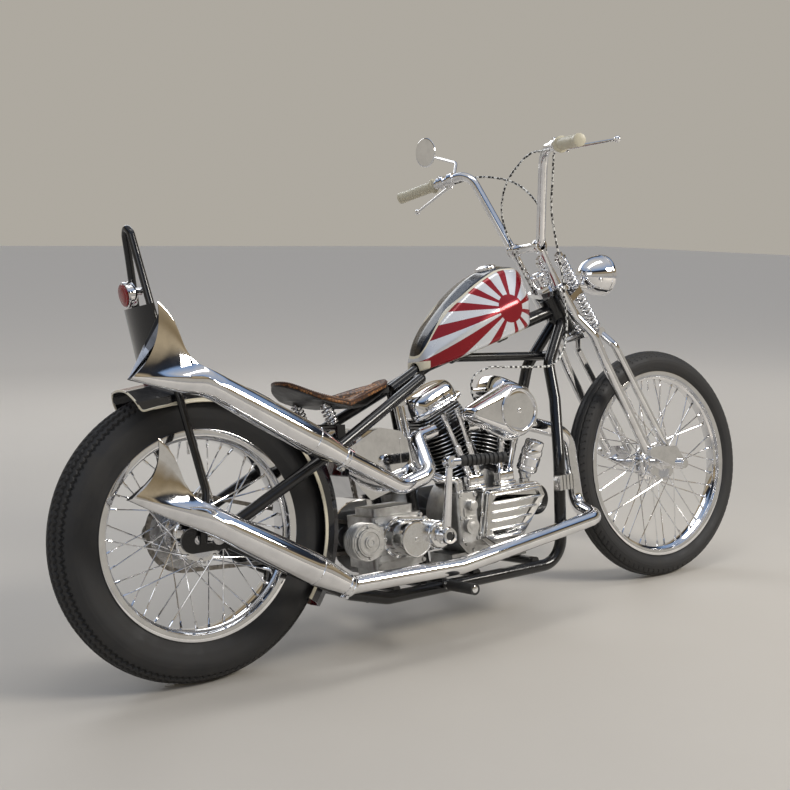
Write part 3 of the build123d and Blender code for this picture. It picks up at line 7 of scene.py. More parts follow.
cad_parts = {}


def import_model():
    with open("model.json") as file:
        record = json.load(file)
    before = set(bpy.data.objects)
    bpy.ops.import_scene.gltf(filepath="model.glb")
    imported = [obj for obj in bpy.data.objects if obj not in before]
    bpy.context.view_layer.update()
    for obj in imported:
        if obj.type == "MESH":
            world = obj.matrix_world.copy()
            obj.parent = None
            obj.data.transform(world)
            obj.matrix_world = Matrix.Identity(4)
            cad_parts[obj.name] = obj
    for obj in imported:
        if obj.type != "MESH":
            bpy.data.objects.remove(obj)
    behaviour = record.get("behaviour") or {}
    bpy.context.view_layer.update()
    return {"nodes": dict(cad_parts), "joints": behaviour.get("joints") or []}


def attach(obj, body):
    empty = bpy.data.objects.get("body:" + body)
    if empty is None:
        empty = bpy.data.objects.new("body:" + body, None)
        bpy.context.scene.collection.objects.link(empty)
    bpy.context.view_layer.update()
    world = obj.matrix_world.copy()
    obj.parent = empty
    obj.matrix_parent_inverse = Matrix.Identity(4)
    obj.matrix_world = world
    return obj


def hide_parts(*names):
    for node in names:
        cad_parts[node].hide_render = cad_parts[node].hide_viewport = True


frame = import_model()

# The bike's own upright frame, in mm: X forward from the rear axle, Y left, Z up from the ground.
FORWARD, LEFT, RIGHT, ABOVE, BELOW = (1, 0, 0), (0, 1, 0), (0, -1, 0), (0, 0, 1), (0, 0, -1)
joints = {joint["name"]: joint for joint in frame["joints"]}
REAR_Z = 341.885
FRONT_Z = 343.606
WHEELBASE = 1518.0
RAKE = math.radians(29.5)
spin = Vector(joints["rear_wheel_spin"]["axis"])
LEAN = math.atan2(-spin.z, spin.y)
TURN = np.array([[1, 0, 0], [0, math.cos(LEAN), math.sin(LEAN)], [0, -math.sin(LEAN), math.cos(LEAN)]])
SHIFT = np.array(joints["rear_wheel_spin"]["pos_m"]) - TURN @ np.array([0, 0, REAR_Z / 1000])
UP = np.array([-math.sin(RAKE), 0, math.cos(RAKE)])
AHEAD = np.array([math.cos(RAKE), 0, math.sin(RAKE)])
AXLE_AHEAD = 75.0
STEER_FOOT = np.array([WHEELBASE, 0, FRONT_Z]) - AHEAD * AXLE_AHEAD


def world(points):
    """Points of the bike's frame in mm, as points of the row frame in metres."""
    return np.asarray(points, float) / 1000 @ TURN.T + SHIFT


def fork_point(along, ahead, across):
    """A point by its distances along the steering axis, ahead of it and across it."""
    return STEER_FOOT + UP * along + AHEAD * ahead + np.array([0, across, 0])


def unit(vector):
    """The vector at a length of 1."""
    vector = np.asarray(vector, float)
    return vector / np.linalg.norm(vector)


def axes_for(axis):
    """Two unit vectors square to this axis and to each other."""
    axis = unit(axis)
    helper = np.array([0, 0, 1.0]) if abs(axis[2]) < 0.9 else np.array([1.0, 0, 0])
    first = unit(np.cross(helper, axis))
    return first, np.cross(axis, first)


def ring_round(axis, steps):
    """(cos a, sin a) in the plane square to this axis, as unit vectors for a whole turn."""
    first, second = axes_for(axis)
    angle = np.linspace(0, 2 * math.pi, steps, endpoint=False)
    return np.cos(angle)[:, None] * first + np.sin(angle)[:, None] * second


# Geometry

class Form:
    """One mesh made of closed surfaces, each a grid of points: rows along it, columns round it."""

    def __init__(self):
        self.points = []
        self.faces = []
        self.tags = []
        self.count = 0

    def grid(self, rows, loop=False, tag=0):
        """Joins rows of points into a skin; loop joins the last row to the first, else the ends are capped."""
        rows = np.asarray(rows, float)
        many, wide = rows.shape[:2]
        flat = rows.reshape(-1, 3)
        index = self.count + np.arange(many * wide).reshape(many, wide)
        below = index if loop else index[:-1]
        above = np.roll(index, -1, axis=0) if loop else index[1:]
        quads = np.stack([below, np.roll(below, -1, axis=1), np.roll(above, -1, axis=1), above], axis=-1).reshape(-1, 4)
        corner = flat[quads - self.count]
        normal = np.cross(corner[:, 2] - corner[:, 0], corner[:, 3] - corner[:, 1])
        volume = ((corner.mean(axis=1) - flat.mean(axis=0)) * normal).sum()
        faces = quads.tolist()
        if not loop:
            faces += [index[0, ::-1].tolist(), index[-1].tolist()]
        self.faces += [face[::-1] for face in faces] if volume < 0 else faces
        self.tags += [tag] * len(faces)
        self.points.append(flat)
        self.count += len(flat)
        return self

    def turned(self, profile, origin, axis, steps=32, loop=False, tag=0):
        """p(i, a) = origin + axis*along_i + radius_i*(cos a, sin a), for profile rows of (radius, along)."""
        radius, along = np.asarray(profile, float).T[:, :, None, None]
        radius = np.maximum(radius, 0.02)
        rows = np.asarray(origin, float) + unit(axis) * along + ring_round(axis, steps) * radius
        return self.grid(rows, loop, tag)

    def swept(self, path, radius, steps=12, loop=False):
        """p(i, a) = path_i + radius_i*(cos a, sin a) in a frame carried along the path."""
        path = np.asarray(path, float)
        radius = np.broadcast_to(np.asarray(radius, float), (len(path),))
        tangent = np.roll(path, -1, axis=0) - np.roll(path, 1, axis=0) if loop else np.gradient(path, axis=0)
        tangent /= np.linalg.norm(tangent, axis=1)[:, None]
        side = axes_for(tangent[0])[0]
        angle = np.linspace(0, 2 * math.pi, steps, endpoint=False)
        rows = []
        for point, along, size in zip(path, tangent, radius):
            side = unit(side - along * (side @ along))
            other = np.cross(along, side)
            rows.append(point + size * (np.cos(angle)[:, None] * side + np.sin(angle)[:, None] * other))
        return self.grid(rows, loop)

    def slab(self, outline, origin, axis_x, axis_y, thick, edge=0.8):
        """An outline in a plane pulled out by its thickness, its two rims bevelled by the edge."""
        outline = np.asarray(outline, float)
        axis_x, axis_y = unit(axis_x), unit(axis_y)
        normal = np.cross(axis_x, axis_y)
        middle = outline.mean(axis=0)
        span = np.linalg.norm(outline - middle, axis=1)[:, None]
        inset = middle + (outline - middle) * (1 - edge / np.maximum(span, edge * 2))
        return self.grid([laid(shape, np.asarray(origin, float), axis_x, axis_y) + normal * depth for shape, depth in (
            (inset, 0), (outline, edge), (outline, thick - edge), (inset, thick))])

    def fluted(self, profile, origin, axis, steps, flutes, edge):
        """A turned form whose rows are (radius, along, depth): r = radius - depth*edge(cos(flutes*a))."""
        cut = edge(np.cos(flutes * np.linspace(0, 2 * math.pi, steps, endpoint=False)))
        circle = ring_round(axis, steps)
        return self.grid([origin + axis * along + (radius - depth * cut)[:, None] * circle
                          for radius, along, depth in profile])

    def bolt(self, origin, axis, size, tall=None, tag=0):
        """A washer under a six-sided head with a domed top; size is across its corners."""
        tall = size * 0.55 if tall is None else tall
        half = size / 2
        self.turned([(half * 1.25, 0), (half * 1.3, 0.4), (half * 1.25, 1.0)], origin, axis, 20, tag=tag)
        return self.turned([(half, 0.9), (half, 0.9 + tall * 0.8), (half * 0.8, 0.9 + tall), (half * 0.2, 1 + tall)],
                           origin, axis, 6, tag=tag)

    def piece(self, name, body, material, slot, replaces=(), sharp=38, extra=()):
        """The finished object in the row frame, riding on its body."""
        mesh = bpy.data.meshes.new(name)
        mesh.from_pydata(world(np.concatenate(self.points)).tolist(), [], self.faces)
        mesh.validate()
        mesh.shade_smooth()
        mesh.set_sharp_from_angle(angle=math.radians(sharp))
        for finish in (material, *extra):
            mesh.materials.append(finish)
        if extra:
            mesh.polygons.foreach_set("material_index", np.array(self.tags, np.int32))
        obj = bpy.data.objects.new(name, mesh)
        bpy.context.scene.collection.objects.link(obj)
        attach(obj, body)
        if replaces:
            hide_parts(*replaces)
        return obj


def hull_of(discs, steps):
    """The outline round several discs (x, y, radius): each way, the point of the disc that reaches farthest."""
    angle = np.linspace(0, 2 * math.pi, steps, endpoint=False)
    facing = np.stack([np.cos(angle), np.sin(angle)], axis=-1)
    discs = np.asarray(discs, float)
    middle, radius = discs[:, :2], discs[:, 2]
    farthest = np.argmax(facing @ middle.T + radius, axis=1)
    return middle[farthest] + radius[farthest][:, None] * facing


def drawn_in(discs, amount, least=-math.inf):
    """The same discs with their radii less this amount, but no smaller than the least."""
    return [(x, z, max(radius - amount, least)) for x, z, radius in discs]


def ring_at(shape, y):
    """A ring of (x, z) points set this far across the bike."""
    return np.stack([shape[:, 0], np.full(len(shape), y), shape[:, 1]], axis=-1)


def laid(shape, origin, axis_x, axis_y):
    """p = origin + x*axis_x + y*axis_y for each point (x, y) of a flat shape."""
    return origin + shape[:, :1] * axis_x + shape[:, 1:] * axis_y


def ribs(many, start, pitch, rows):
    """The same (radius, along) rows so many times, each a pitch further along."""
    return [(radius, start + pitch * index + along) for index in range(many) for radius, along in rows]


def ball(radius, steps):
    """The rows of a ball's profile from end to end."""
    return [(radius * math.cos(t), radius * math.sin(t)) for t in np.linspace(-1.5, 1.5, steps)]


def corner_arc(before, corner, after, radius, steps):
    """p(t) = start + r*(1 - cos t)*square + r*sin t*way: an arc that rounds one corner between two straights."""
    way_in, way_out = unit(corner - before), unit(after - corner)
    turn = math.acos(float(np.clip(way_in @ way_out, -1, 1)))
    start = corner - way_in * radius * math.tan(turn / 2)
    square = unit(way_out - way_in * (way_in @ way_out))
    return [start + square * radius * (1 - math.cos(t)) + way_in * radius * math.sin(t)
            for t in np.linspace(0, turn, steps)]


def coil(start, end, radius, wire, turns, form, samples, wire_steps):
    """p(t) = start + axis*t + radius(t)*(cos wt, sin wt): a spring's wire, with flattened end turns."""
    start, end = np.asarray(start, float), np.asarray(end, float)
    first, second = axes_for(end - start)
    t = np.linspace(0, 1, int(turns * samples))
    rise = np.clip((t * turns - 0.7) / (turns - 1.4), 0, 1)
    size = radius(t) if callable(radius) else radius
    angle = 2 * math.pi * turns * t
    axis = unit(end - start)
    low, high = start + axis * wire, end - axis * wire
    path = low + (high - low) * rise[:, None] + np.asarray(size)[..., None] * (
        np.cos(angle)[:, None] * first + np.sin(angle)[:, None] * second)
    return form.swept(path, wire, wire_steps)


# Materials

def put(tree, kind, inputs=None, **settings):
    """A new node of a tree: its settings first, then each input linked or given its value."""
    node = tree.nodes.new(kind)
    for key, value in settings.items():
        setattr(node, key, value)
    for key, value in (inputs or {}).items():
        if isinstance(value, bpy.types.NodeSocket):
            tree.links.new(value, node.inputs[key])
        else:
            node.inputs[key].default_value = value
    return node


class Shader:
    """A material with one surface shader and a few helpers to feed it."""

    def __init__(self, name, **values):
        self.material = bpy.data.materials.new(name)
        self.material.use_nodes = True
        self.tree = self.material.node_tree
        self.shader = self.tree.nodes["Principled BSDF"]
        for key, value in values.items():
            self.shader.inputs[key.replace("_", " ")].default_value = value

    def add(self, kind, inputs=None, **settings):
        """A new node of this material."""
        return put(self.tree, kind, inputs, **settings)

    def feed(self, output, socket):
        """Links an output to one of the shader's own inputs."""
        self.tree.links.new(output, self.shader.inputs[socket])

    def finish(self, **values):
        """Lets the shared finish give the roughness and the bump, and hands back its colour."""
        look = self.add("ShaderNodeGroup", values, node_tree=FINISH)
        self.feed(look.outputs["Roughness"], "Roughness")
        self.feed(look.outputs["Normal"], "Normal")
        return look.outputs["Color"]


def new_group(name, inputs, outputs):
    """An empty group of nodes with these named inputs and outputs."""
    tree = bpy.data.node_groups.new(name, "ShaderNodeTree")
    for label, kind, value in inputs:
        tree.interface.new_socket(label, in_out="INPUT", socket_type=kind).default_value = value
    for label, kind in outputs:
        tree.interface.new_socket(label, in_out="OUTPUT", socket_type=kind)
    return tree, tree.nodes.new("NodeGroupInput").outputs, tree.nodes.new("NodeGroupOutput").inputs


def finish_group():
    """Handled metal or paint: smudges change the roughness and the tone, and fine grain gives the bump."""
    tree, given, result = new_group("finish", [
        ("Color", "NodeSocketColor", (0.8, 0.8, 0.8, 1)), ("Dark", "NodeSocketColor", (0.5, 0.5, 0.5, 1)),
        ("Smooth", "NodeSocketFloat", 0.05), ("Rough", "NodeSocketFloat", 0.2),
        ("Patch", "NodeSocketFloat", 30.0), ("Grain", "NodeSocketFloat", 900.0), ("Height", "NodeSocketFloat", 0.05),
    ], [("Color", "NodeSocketColor"), ("Roughness", "NodeSocketFloat"), ("Normal", "NodeSocketVector")])
    place = put(tree, "ShaderNodeTexCoord").outputs["Object"]
    patch = put(tree, "ShaderNodeTexNoise", {"Vector": place, "Scale": given["Patch"], "Detail": 6.0,
                                             "Roughness": 0.62}).outputs["Fac"]
    spread = put(tree, "ShaderNodeMapRange", {"Value": patch, "From Min": 0.35, "From Max": 0.7,
                                              "To Min": given["Smooth"], "To Max": given["Rough"]})
    share = put(tree, "ShaderNodeMapRange", {"Value": patch, "From Min": 0.42, "From Max": 0.75,
                                             "To Min": 0.0, "To Max": 1.0})
    tint = put(tree, "ShaderNodeMix", {"Factor": share.outputs["Result"], "A": given["Color"], "B": given["Dark"]},
               data_type="RGBA")
    grain = put(tree, "ShaderNodeTexNoise", {"Vector": place, "Scale": given["Grain"], "Detail": 4.0})
    bump = put(tree, "ShaderNodeBump", {"Distance": 0.0006, "Strength": given["Height"],
                                        "Height": grain.outputs["Fac"]})
    tree.links.new(tint.outputs["Result"], result["Color"])
    tree.links.new(spread.outputs["Result"], result["Roughness"])
    tree.links.new(bump.outputs["Normal"], result["Normal"])
    return tree


def bike_place_group():
    """Turns a point of the row frame back into the bike's upright frame, in metres."""
    tree, _, result = new_group("bike_place", [], [("Vector", "NodeSocketVector"), ("X", "NodeSocketFloat"),
                                                   ("Y", "NodeSocketFloat"), ("Z", "NodeSocketFloat")])
    place = put(tree, "ShaderNodeTexCoord").outputs["Object"]
    move = put(tree, "ShaderNodeVectorMath", {0: place, 1: SHIFT}, operation="SUBTRACT")
    turn = put(tree, "ShaderNodeVectorRotate", {"Vector": move.outputs["Vector"], "Angle": LEAN},
               rotation_type="X_AXIS").outputs["Vector"]
    parts = put(tree, "ShaderNodeSeparateXYZ", {"Vector": turn})
    tree.links.new(turn, result["Vector"])
    for label in "XYZ":
        tree.links.new(parts.outputs[label], result[label])
    return tree


FINISH = finish_group()
BIKE_PLACE = bike_place_group()
PAINT_FINISH = {"Smooth": 0.18, "Rough": 0.3, "Patch": 14.0, "Grain": 1200.0, "Height": 0.015}


def metal(name, color, dark, smooth, rough, patch=30.0, grain=900.0, height=0.03, metallic=1.0, **values):
    """A material whose whole look comes from the shared finish, between a clean and a darker tone."""
    shader = Shader(name, Metallic=metallic, **values)
    shader.feed(shader.finish(Color=(*color, 1), Dark=(*dark, 1), Smooth=smooth, Rough=rough, Patch=patch,
                              Grain=grain, Height=height), "Base Color")
    return shader.material


CHROME = metal("chrome", (0.86, 0.86, 0.87), (0.7, 0.7, 0.71), 0.025, 0.09, patch=18, height=0.012)
POLISHED = metal("polished_alloy", (0.84, 0.84, 0.84), (0.66, 0.65, 0.63), 0.1, 0.24, patch=26, height=0.05)
CAST = metal("cast_alloy", (0.62, 0.62, 0.61), (0.4, 0.39, 0.38), 0.34, 0.55, patch=34, grain=420, height=0.32)
IRON = metal("black_iron", (0.03, 0.03, 0.032), (0.05, 0.047, 0.045), 0.3, 0.55, patch=40, grain=600, height=0.12,
             metallic=0.3)
ZINC = metal("zinc_steel", (0.55, 0.55, 0.56), (0.36, 0.35, 0.34), 0.2, 0.42, patch=60, height=0.08)
CHAIN = metal("chain_steel", (0.3, 0.28, 0.25), (0.12, 0.1, 0.08), 0.28, 0.5, patch=70, height=0.1)
GLOSS = metal("black_enamel", (0.006, 0.006, 0.007), (0.012, 0.012, 0.013), 0.16, 0.3, patch=12, height=0.015,
              metallic=0.0, Coat_Weight=0.4, Coat_Roughness=0.03, Specular_IOR_Level=0.35)
SATIN = metal("black_satin", (0.018, 0.018, 0.019), (0.035, 0.034, 0.033), 0.32, 0.5, patch=40, height=0.08,
              metallic=0.0)
RUBBER = metal("tyre_rubber", (0.016, 0.016, 0.017), (0.032, 0.03, 0.028), 0.55, 0.78, patch=22, grain=700,
               height=0.25, metallic=0.0)
BLACK_RUBBER = metal("black_rubber", (0.02, 0.02, 0.02), (0.04, 0.038, 0.036), 0.5, 0.7, patch=50, height=0.2,
                     metallic=0.0)
CREAM = metal("cream_rubber", (0.62, 0.58, 0.45), (0.52, 0.48, 0.36), 0.32, 0.45, patch=14, height=0.02, metallic=0.0)
CASE = metal("moulded_case", (0.02, 0.02, 0.021), (0.04, 0.04, 0.04), 0.38, 0.55, patch=40, height=0.1, metallic=0.0)


def glass(name, color, rough, alpha=1.0, **values):
    """A clear or coloured surface with a slight wave in it."""
    shader = Shader(name, Base_Color=(*color, 1), Roughness=rough, Alpha=alpha, **values)
    place = shader.add("ShaderNodeTexCoord").outputs["Object"]
    wave = shader.add("ShaderNodeTexNoise", {"Vector": place, "Scale": 260.0, "Detail": 2.0})
    bump = shader.add("ShaderNodeBump", {"Strength": 0.05, "Distance": 0.0004, "Height": wave.outputs["Fac"]})
    shader.feed(bump.outputs["Normal"], "Normal")
    return shader.material


LENS = glass("clear_lens", (0.86, 0.9, 0.93), 0.04, 0.42, Coat_Weight=1.0)
RED_LENS = glass("red_lens", (0.24, 0.002, 0.004), 0.06, Coat_Weight=0.4, Coat_Roughness=0.02)
MIRROR = glass("mirror_glass", (0.42, 0.5, 0.58), 0.02, Metallic=1.0)


class Maths:
    """Arithmetic on a shader's numbers, so that a pattern reads as a formula."""

    def __init__(self, shader):
        self.shader = shader

    def __call__(self, operation, *values):
        """One step of arithmetic on one to three numbers."""
        return self.shader.add("ShaderNodeMath", dict(enumerate(values)), operation=operation).outputs[0]

    def curve(self, value, points):
        """A smooth curve through these points, of one number."""
        node = self.shader.add("ShaderNodeFloatCurve", {"Value": value})
        line = node.mapping.curves[0]
        for _ in range(len(points) - 2):
            line.points.new(0.5, 0.5)
        for handle, place in zip(line.points, points):
            handle.location = place
        node.mapping.update()
        return node.outputs[0]

    def colour(self, share, first, second):
        """The first colour where share is 0, the second where it is 1."""
        first, second = (tone if isinstance(tone, bpy.types.NodeSocket) else (*tone, 1) for tone in (first, second))
        node = self.shader.add("ShaderNodeMix", {"Factor": share, "A": first, "B": second}, data_type="RGBA")
        return node.outputs["Result"]

    def reach(self, first, second):
        """sqrt(first^2 + second^2)"""
        squares = (self("MULTIPLY", side, side) for side in (first, second))
        return self("SQRT", self("ADD", *squares))


BLACK = (0.006, 0.006, 0.008)
IVORY = (0.78, 0.72, 0.56)
SILVER = (0.62, 0.64, 0.67)
SUN_RED = (0.23, 0.003, 0.01)
# the sun's middle on the tank's side, its radius, and each red ray's middle and half width in degrees
SUN = (0.9100, 0.8265)
SUN_R = 0.0385
RAYS = ((87, 6.2), (120, 6.6), (150, 6.0), (174.8, 4.9), (193.6, 4.2), (211.6, 5.8), (237.6, 6.9), (285.5, 6.0),
        (318, 6.0), (350, 6.0), (22, 6.0), (54, 6.0))
# the black's edge on the tank as a curve in a box: its start, length, foot and height; and half its ivory line
BOX_X, BOX_LONG, BOX_Z, BOX_TALL = 0.62, 0.40, 0.632, 0.34
LINE_HALF = 0.0021
# across the mudguard: half the red panel, the silver line's middle and half width; the ivory edge's limits
PANEL_HALF, SILVER_AT, SILVER_HALF = 0.034, 0.0365, 0.0026
EDGE_REACH, EDGE_FROM = 0.3125, 0.06


def tank_paint():
    """Rays from a sun on each side; black over the top above an ivory line; an ivory line along the bottom edge."""
    shader = Shader("tank_paint", Metallic=0.0, Coat_Weight=0.35, Coat_Roughness=0.02, Specular_IOR_Level=0.4)
    maths = Maths(shader)
    place = shader.add("ShaderNodeGroup", node_tree=BIKE_PLACE).outputs
    x, z = place["X"], place["Z"]
    side_x, side_z = maths("SUBTRACT", x, SUN[0]), maths("SUBTRACT", z, SUN[1])
    angle = maths("ARCTAN2", side_z, side_x)
    red = maths("LESS_THAN", maths.reach(side_x, side_z), SUN_R)
    for middle, half in RAYS:
        away = maths("ABSOLUTE", maths("WRAP", maths("SUBTRACT", angle, math.radians(middle)), math.pi, -math.pi))
        red = maths("MAXIMUM", red, maths("LESS_THAN", away, math.radians(half)))
    share = maths("DIVIDE", maths("SUBTRACT", x, BOX_X), BOX_LONG)
    crown = maths.curve(share, ((0.0, 0.1), (0.075, 0.226), (0.2525, 0.515), (0.4375, 0.700), (0.6325, 0.841),
                                (0.7325, 0.888), (0.815, 0.897), (1.0, 0.9)))
    line = maths("ADD", maths("MULTIPLY", crown, BOX_TALL), BOX_Z)
    above = maths("SUBTRACT", z, line)
    low = maths("ADD", maths("MULTIPLY", maths("SUBTRACT", x, 0.738), 0.318), 0.7005)
    stripe = maths("MAXIMUM", maths("LESS_THAN", maths("ABSOLUTE", above), LINE_HALF), maths("LESS_THAN", z, low))
    tab = maths("MULTIPLY", maths("LESS_THAN", x, 0.672), maths("LESS_THAN", z, 0.702))
    stripe = maths("MAXIMUM", stripe, tab)
    flake = shader.add("ShaderNodeTexVoronoi", {"Vector": place["Vector"], "Scale": 2600.0})
    shine = maths("MULTIPLY", flake.outputs["Distance"], 0.6)
    pale = maths.colour(shine, SILVER, (0.8, 0.82, 0.85))
    deep = maths.colour(shine, SUN_RED, (0.33, 0.007, 0.016))
    paint = maths.colour(red, pale, deep)
    paint = maths.colour(maths("GREATER_THAN", above, 0.0), paint, BLACK)
    paint = maths.colour(stripe, paint, IVORY)
    shader.feed(paint, "Base Color")
    ground = maths("SUBTRACT", 1.0, maths("MAXIMUM", stripe, maths("GREATER_THAN", above, 0.0)))
    shader.feed(maths("MULTIPLY", ground, 0.35), "Metallic")
    shader.finish(**PAINT_FINISH)
    return shader.material


def fender_paint():
    """Black with a deep red panel along the crown, its thin silver lines, and an ivory line round the edges."""
    shader = Shader("fender_paint", Coat_Weight=1.0, Coat_Roughness=0.02)
    maths = Maths(shader)
    place = shader.add("ShaderNodeGroup", node_tree=BIKE_PLACE).outputs
    x, y, z = (place[label] for label in "XYZ")
    reach = maths.reach(x, maths("SUBTRACT", z, REAR_Z / 1000))
    off = maths("ABSOLUTE", y)
    panel = maths("LESS_THAN", off, PANEL_HALF)
    line = maths("LESS_THAN", maths("ABSOLUTE", maths("SUBTRACT", off, SILVER_AT)), SILVER_HALF)
    edge = maths("MULTIPLY", maths("LESS_THAN", reach, EDGE_REACH), maths("GREATER_THAN", off, EDGE_FROM))
    red = shader.finish(Color=(0.13, 0.004, 0.01, 1), Dark=(0.2, 0.008, 0.016, 1), **PAINT_FINISH)
    paint = maths.colour(panel, BLACK, red)
    paint = maths.colour(line, paint, SILVER)
    paint = maths.colour(edge, paint, IVORY)
    shader.feed(paint, "Base Color")
    return shader.material


def seat_leather():
    """Tooled tan leather: raised scales, dark between them, in lighter and darker blotches."""
    shader = Shader("seat_leather", Sheen_Weight=0.1)
    maths = Maths(shader)
    place = shader.add("ShaderNodeGroup", node_tree=BIKE_PLACE).outputs["Vector"]
    scales = shader.add("ShaderNodeTexVoronoi", {"Vector": place, "Scale": 120.0, "Randomness": 0.55},
                        feature="DISTANCE_TO_EDGE")
    wide = shader.add("ShaderNodeTexNoise", {"Vector": place, "Scale": 28.0, "Detail": 5.0})
    raised = shader.add("ShaderNodeMapRange", {"Value": scales.outputs["Distance"], "From Max": 0.2})
    blotch = shader.add("ShaderNodeMapRange", {"Value": wide.outputs["Fac"], "From Min": 0.42, "From Max": 0.6})
    tone = maths.colour(blotch.outputs["Result"], (0.14, 0.05, 0.012), (0.46, 0.2, 0.06))
    tone = maths.colour(raised.outputs["Result"], (0.012, 0.006, 0.004), tone)
    shader.feed(tone, "Base Color")
    rough = shader.add("ShaderNodeMapRange", {"Value": wide.outputs["Fac"], "To Min": 0.34, "To Max": 0.58})
    shader.feed(rough.outputs["Result"], "Roughness")
    bump = shader.add("ShaderNodeBump", {"Strength": 0.5, "Distance": 0.0012, "Height": raised.outputs["Result"]})
    shader.feed(bump.outputs["Normal"], "Normal")
    return shader.material


def spiral_sheath():
    """A cable wound with black and white: a fine chequer a little wider than the cable gives the turns."""
    shader = Shader("spiral_sheath", Coat_Weight=0.4)
    check = shader.add("ShaderNodeTexChecker", {
        "Vector": shader.add("ShaderNodeTexCoord").outputs["Object"], "Scale": 105.0,
        "Color1": (0.01, 0.01, 0.01, 1), "Color2": (0.78, 0.78, 0.75, 1)})
    shader.feed(check.outputs["Color"], "Base Color")
    shader.finish(Smooth=0.22, Rough=0.4, Patch=60.0, Grain=900.0, Height=0.05)
    return shader.material


WELT = metal("seat_welt", (0.05, 0.02, 0.01), (0.1, 0.045, 0.02), 0.4, 0.6, patch=50, height=0.1, metallic=0.0)
BEAD = metal("ivory_enamel", (0.74, 0.69, 0.55), (0.66, 0.6, 0.46), 0.16, 0.3, patch=14, height=0.01, metallic=0.0,
             Coat_Weight=1.0)
TANK = tank_paint()
FENDER = fender_paint()
LEATHER = seat_leather()
SHEATH = spiral_sheath()

for node, material in {
    "frame": GLOSS, "rear_axle": CHROME, "fuel_tank": TANK, "filler_cap": CHROME, "seat": LEATHER, "seat_pan": SATIN,
    "seat_springs": CHROME, "rear_fender": FENDER, "sissy_bar": GLOSS, "tail_light": CHROME, "tail_lens": RED_LENS,
    "number_plate": GLOSS, "crankcase": CAST, "gear_case": POLISHED, "timing_cover": POLISHED, "oil_pump": CAST,
    "cylinders": IRON, "rocker_covers": CHROME, "pushrod_tubes": CHROME, "carburettor": POLISHED,
    "air_cleaner": CHROME, "ignition_timer": CHROME, "generator": GLOSS, "regulator": POLISHED, "gearbox": CAST,
    "kicker_cover": POLISHED, "kick_starter": CHROME, "starter_motor": CAST, "primary_cover": CHROME,
    "drive_chain": CHAIN, "rear_sprocket": ZINC, "oil_tank": CHROME, "battery": CASE, "oil_lines": CHROME,
    "foot_pegs": BLACK_RUBBER, "fork_rigid_legs": CHROME, "fork_spring_legs": CHROME, "fork_springs": CHROME,
    "fork_rockers": CHROME, "steering_damper": CHROME, "risers": CHROME, "handlebar": CHROME, "grips": CREAM,
    "hand_levers": CHROME, "rear_view_mirror": CHROME, "headlight": CHROME, "headlight_lens": LENS,
    "side_stand": CHROME, "rear_tyre": RUBBER, "rear_rim": CHROME, "rear_spokes": ZINC, "front_tyre": RUBBER,
    "front_rim": CHROME, "front_spokes": CHROME, "upper_exhaust": CHROME, "lower_exhaust": CHROME,
    "control_cables": SHEATH, "carburettor_cable": SHEATH,
}.items():
    if node in frame["nodes"]:
        frame["nodes"][node].data.materials.clear()
        frame["nodes"][node].data.materials.append(material)


# Wheels

def bend(corners, radii, steps=9):
    """Straight runs joined by tangent arcs: each arc's points lie on a circle of its corner's radius."""
    corners = [np.asarray(corner, float) for corner in corners]
    radii = np.broadcast_to(radii, (len(corners) - 2,))
    path = [corners[0]]
    for before, corner, after, radius in zip(corners, corners[1:], corners[2:], radii):
        path += corner_arc(before, corner, after, radius, steps)
    path.append(corners[-1])
    return np.array(path)


def ring_skin(form, profile, centre, steps, relief=None):
    """p(i, a) = centre + radius_i*(cos a, sin a) across the bike, less relief(i, a), for a closed profile."""
    profile = np.asarray(profile, float)
    angle = np.linspace(0, 2 * math.pi, steps, endpoint=False)
    radius = np.repeat(profile[:, :1], steps, axis=1)
    side = np.repeat(profile[:, 1:], steps, axis=1)
    if relief is not None:
        radius, side = relief(radius, side, angle[None, :])
    rows = np.stack([centre[0] + radius * np.cos(angle), centre[1] + side, centre[2] + radius * np.sin(angle)], axis=-1)
    return form.grid(rows, True)


def notch(value, width):
    """1 in the middle of a groove of this half width, falling smoothly to 0 at its edges."""
    return np.clip(1.25 - np.abs(value) / width, 0, 1) ** 0.5


def tyre_profile(outer, half, rim_r, rim_half, tread, many):
    """The crown's arc, sidewalls that bulge and narrow to the rim with two raised rings, and the beads."""
    crown = outer - half
    arc = np.linspace(-tread, tread, many)
    points = [(crown + half * math.cos(t), half * math.sin(t)) for t in arc]
    wall = []
    foot = np.array((rim_r + 1.5, rim_half - 3.2))
    for share in np.linspace(0.04, 1, 20):
        t = tread + share * (math.radians(118) - tread)
        bulge = np.array((crown + half * math.cos(t), half * math.sin(t)))
        fade = max(0.0, (share - 0.45) / 0.55) ** 1.6
        point = bulge * (1 - fade) + foot * fade
        point[1] += 0.7 * math.exp(-((share - 0.3) / 0.03) ** 2) + 0.8 * math.exp(-((share - 0.72) / 0.035) ** 2)
        wall.append((point[0], min(point[1], half)))
    bead = [(rim_r - 12, rim_half - 4.0)]
    right = [(radius, -side) for radius, side in wall]
    return np.array(right[::-1] + points + wall + bead + [(radius, -side) for radius, side in bead[::-1]]), len(wall)


def tyre(name, node, body, centre, outer, half, rim_r, rim_half, tread, many, steps, pattern):
    """A tyre's skin about its wheel's centre; pattern(arc across it in degrees, angle round it) cuts the tread."""
    profile, wall = tyre_profile(outer, half, rim_r, rim_half, math.radians(tread), many)
    arc = np.linspace(-tread, tread, many)[:, None]

    def relief(radius, side, angle):
        depth = np.zeros(radius.shape)
        depth[wall:wall + many] = pattern(arc, angle)
        return radius - depth * (radius - outer + half) / half, side * (1 - depth / half)

    ring_skin(Form(), profile, centre, steps, relief).piece(name, body, RUBBER, "tyre_rubber", (node,), sharp=32)


REAR_TEETH = 130
FRONT_BLOCKS = 96


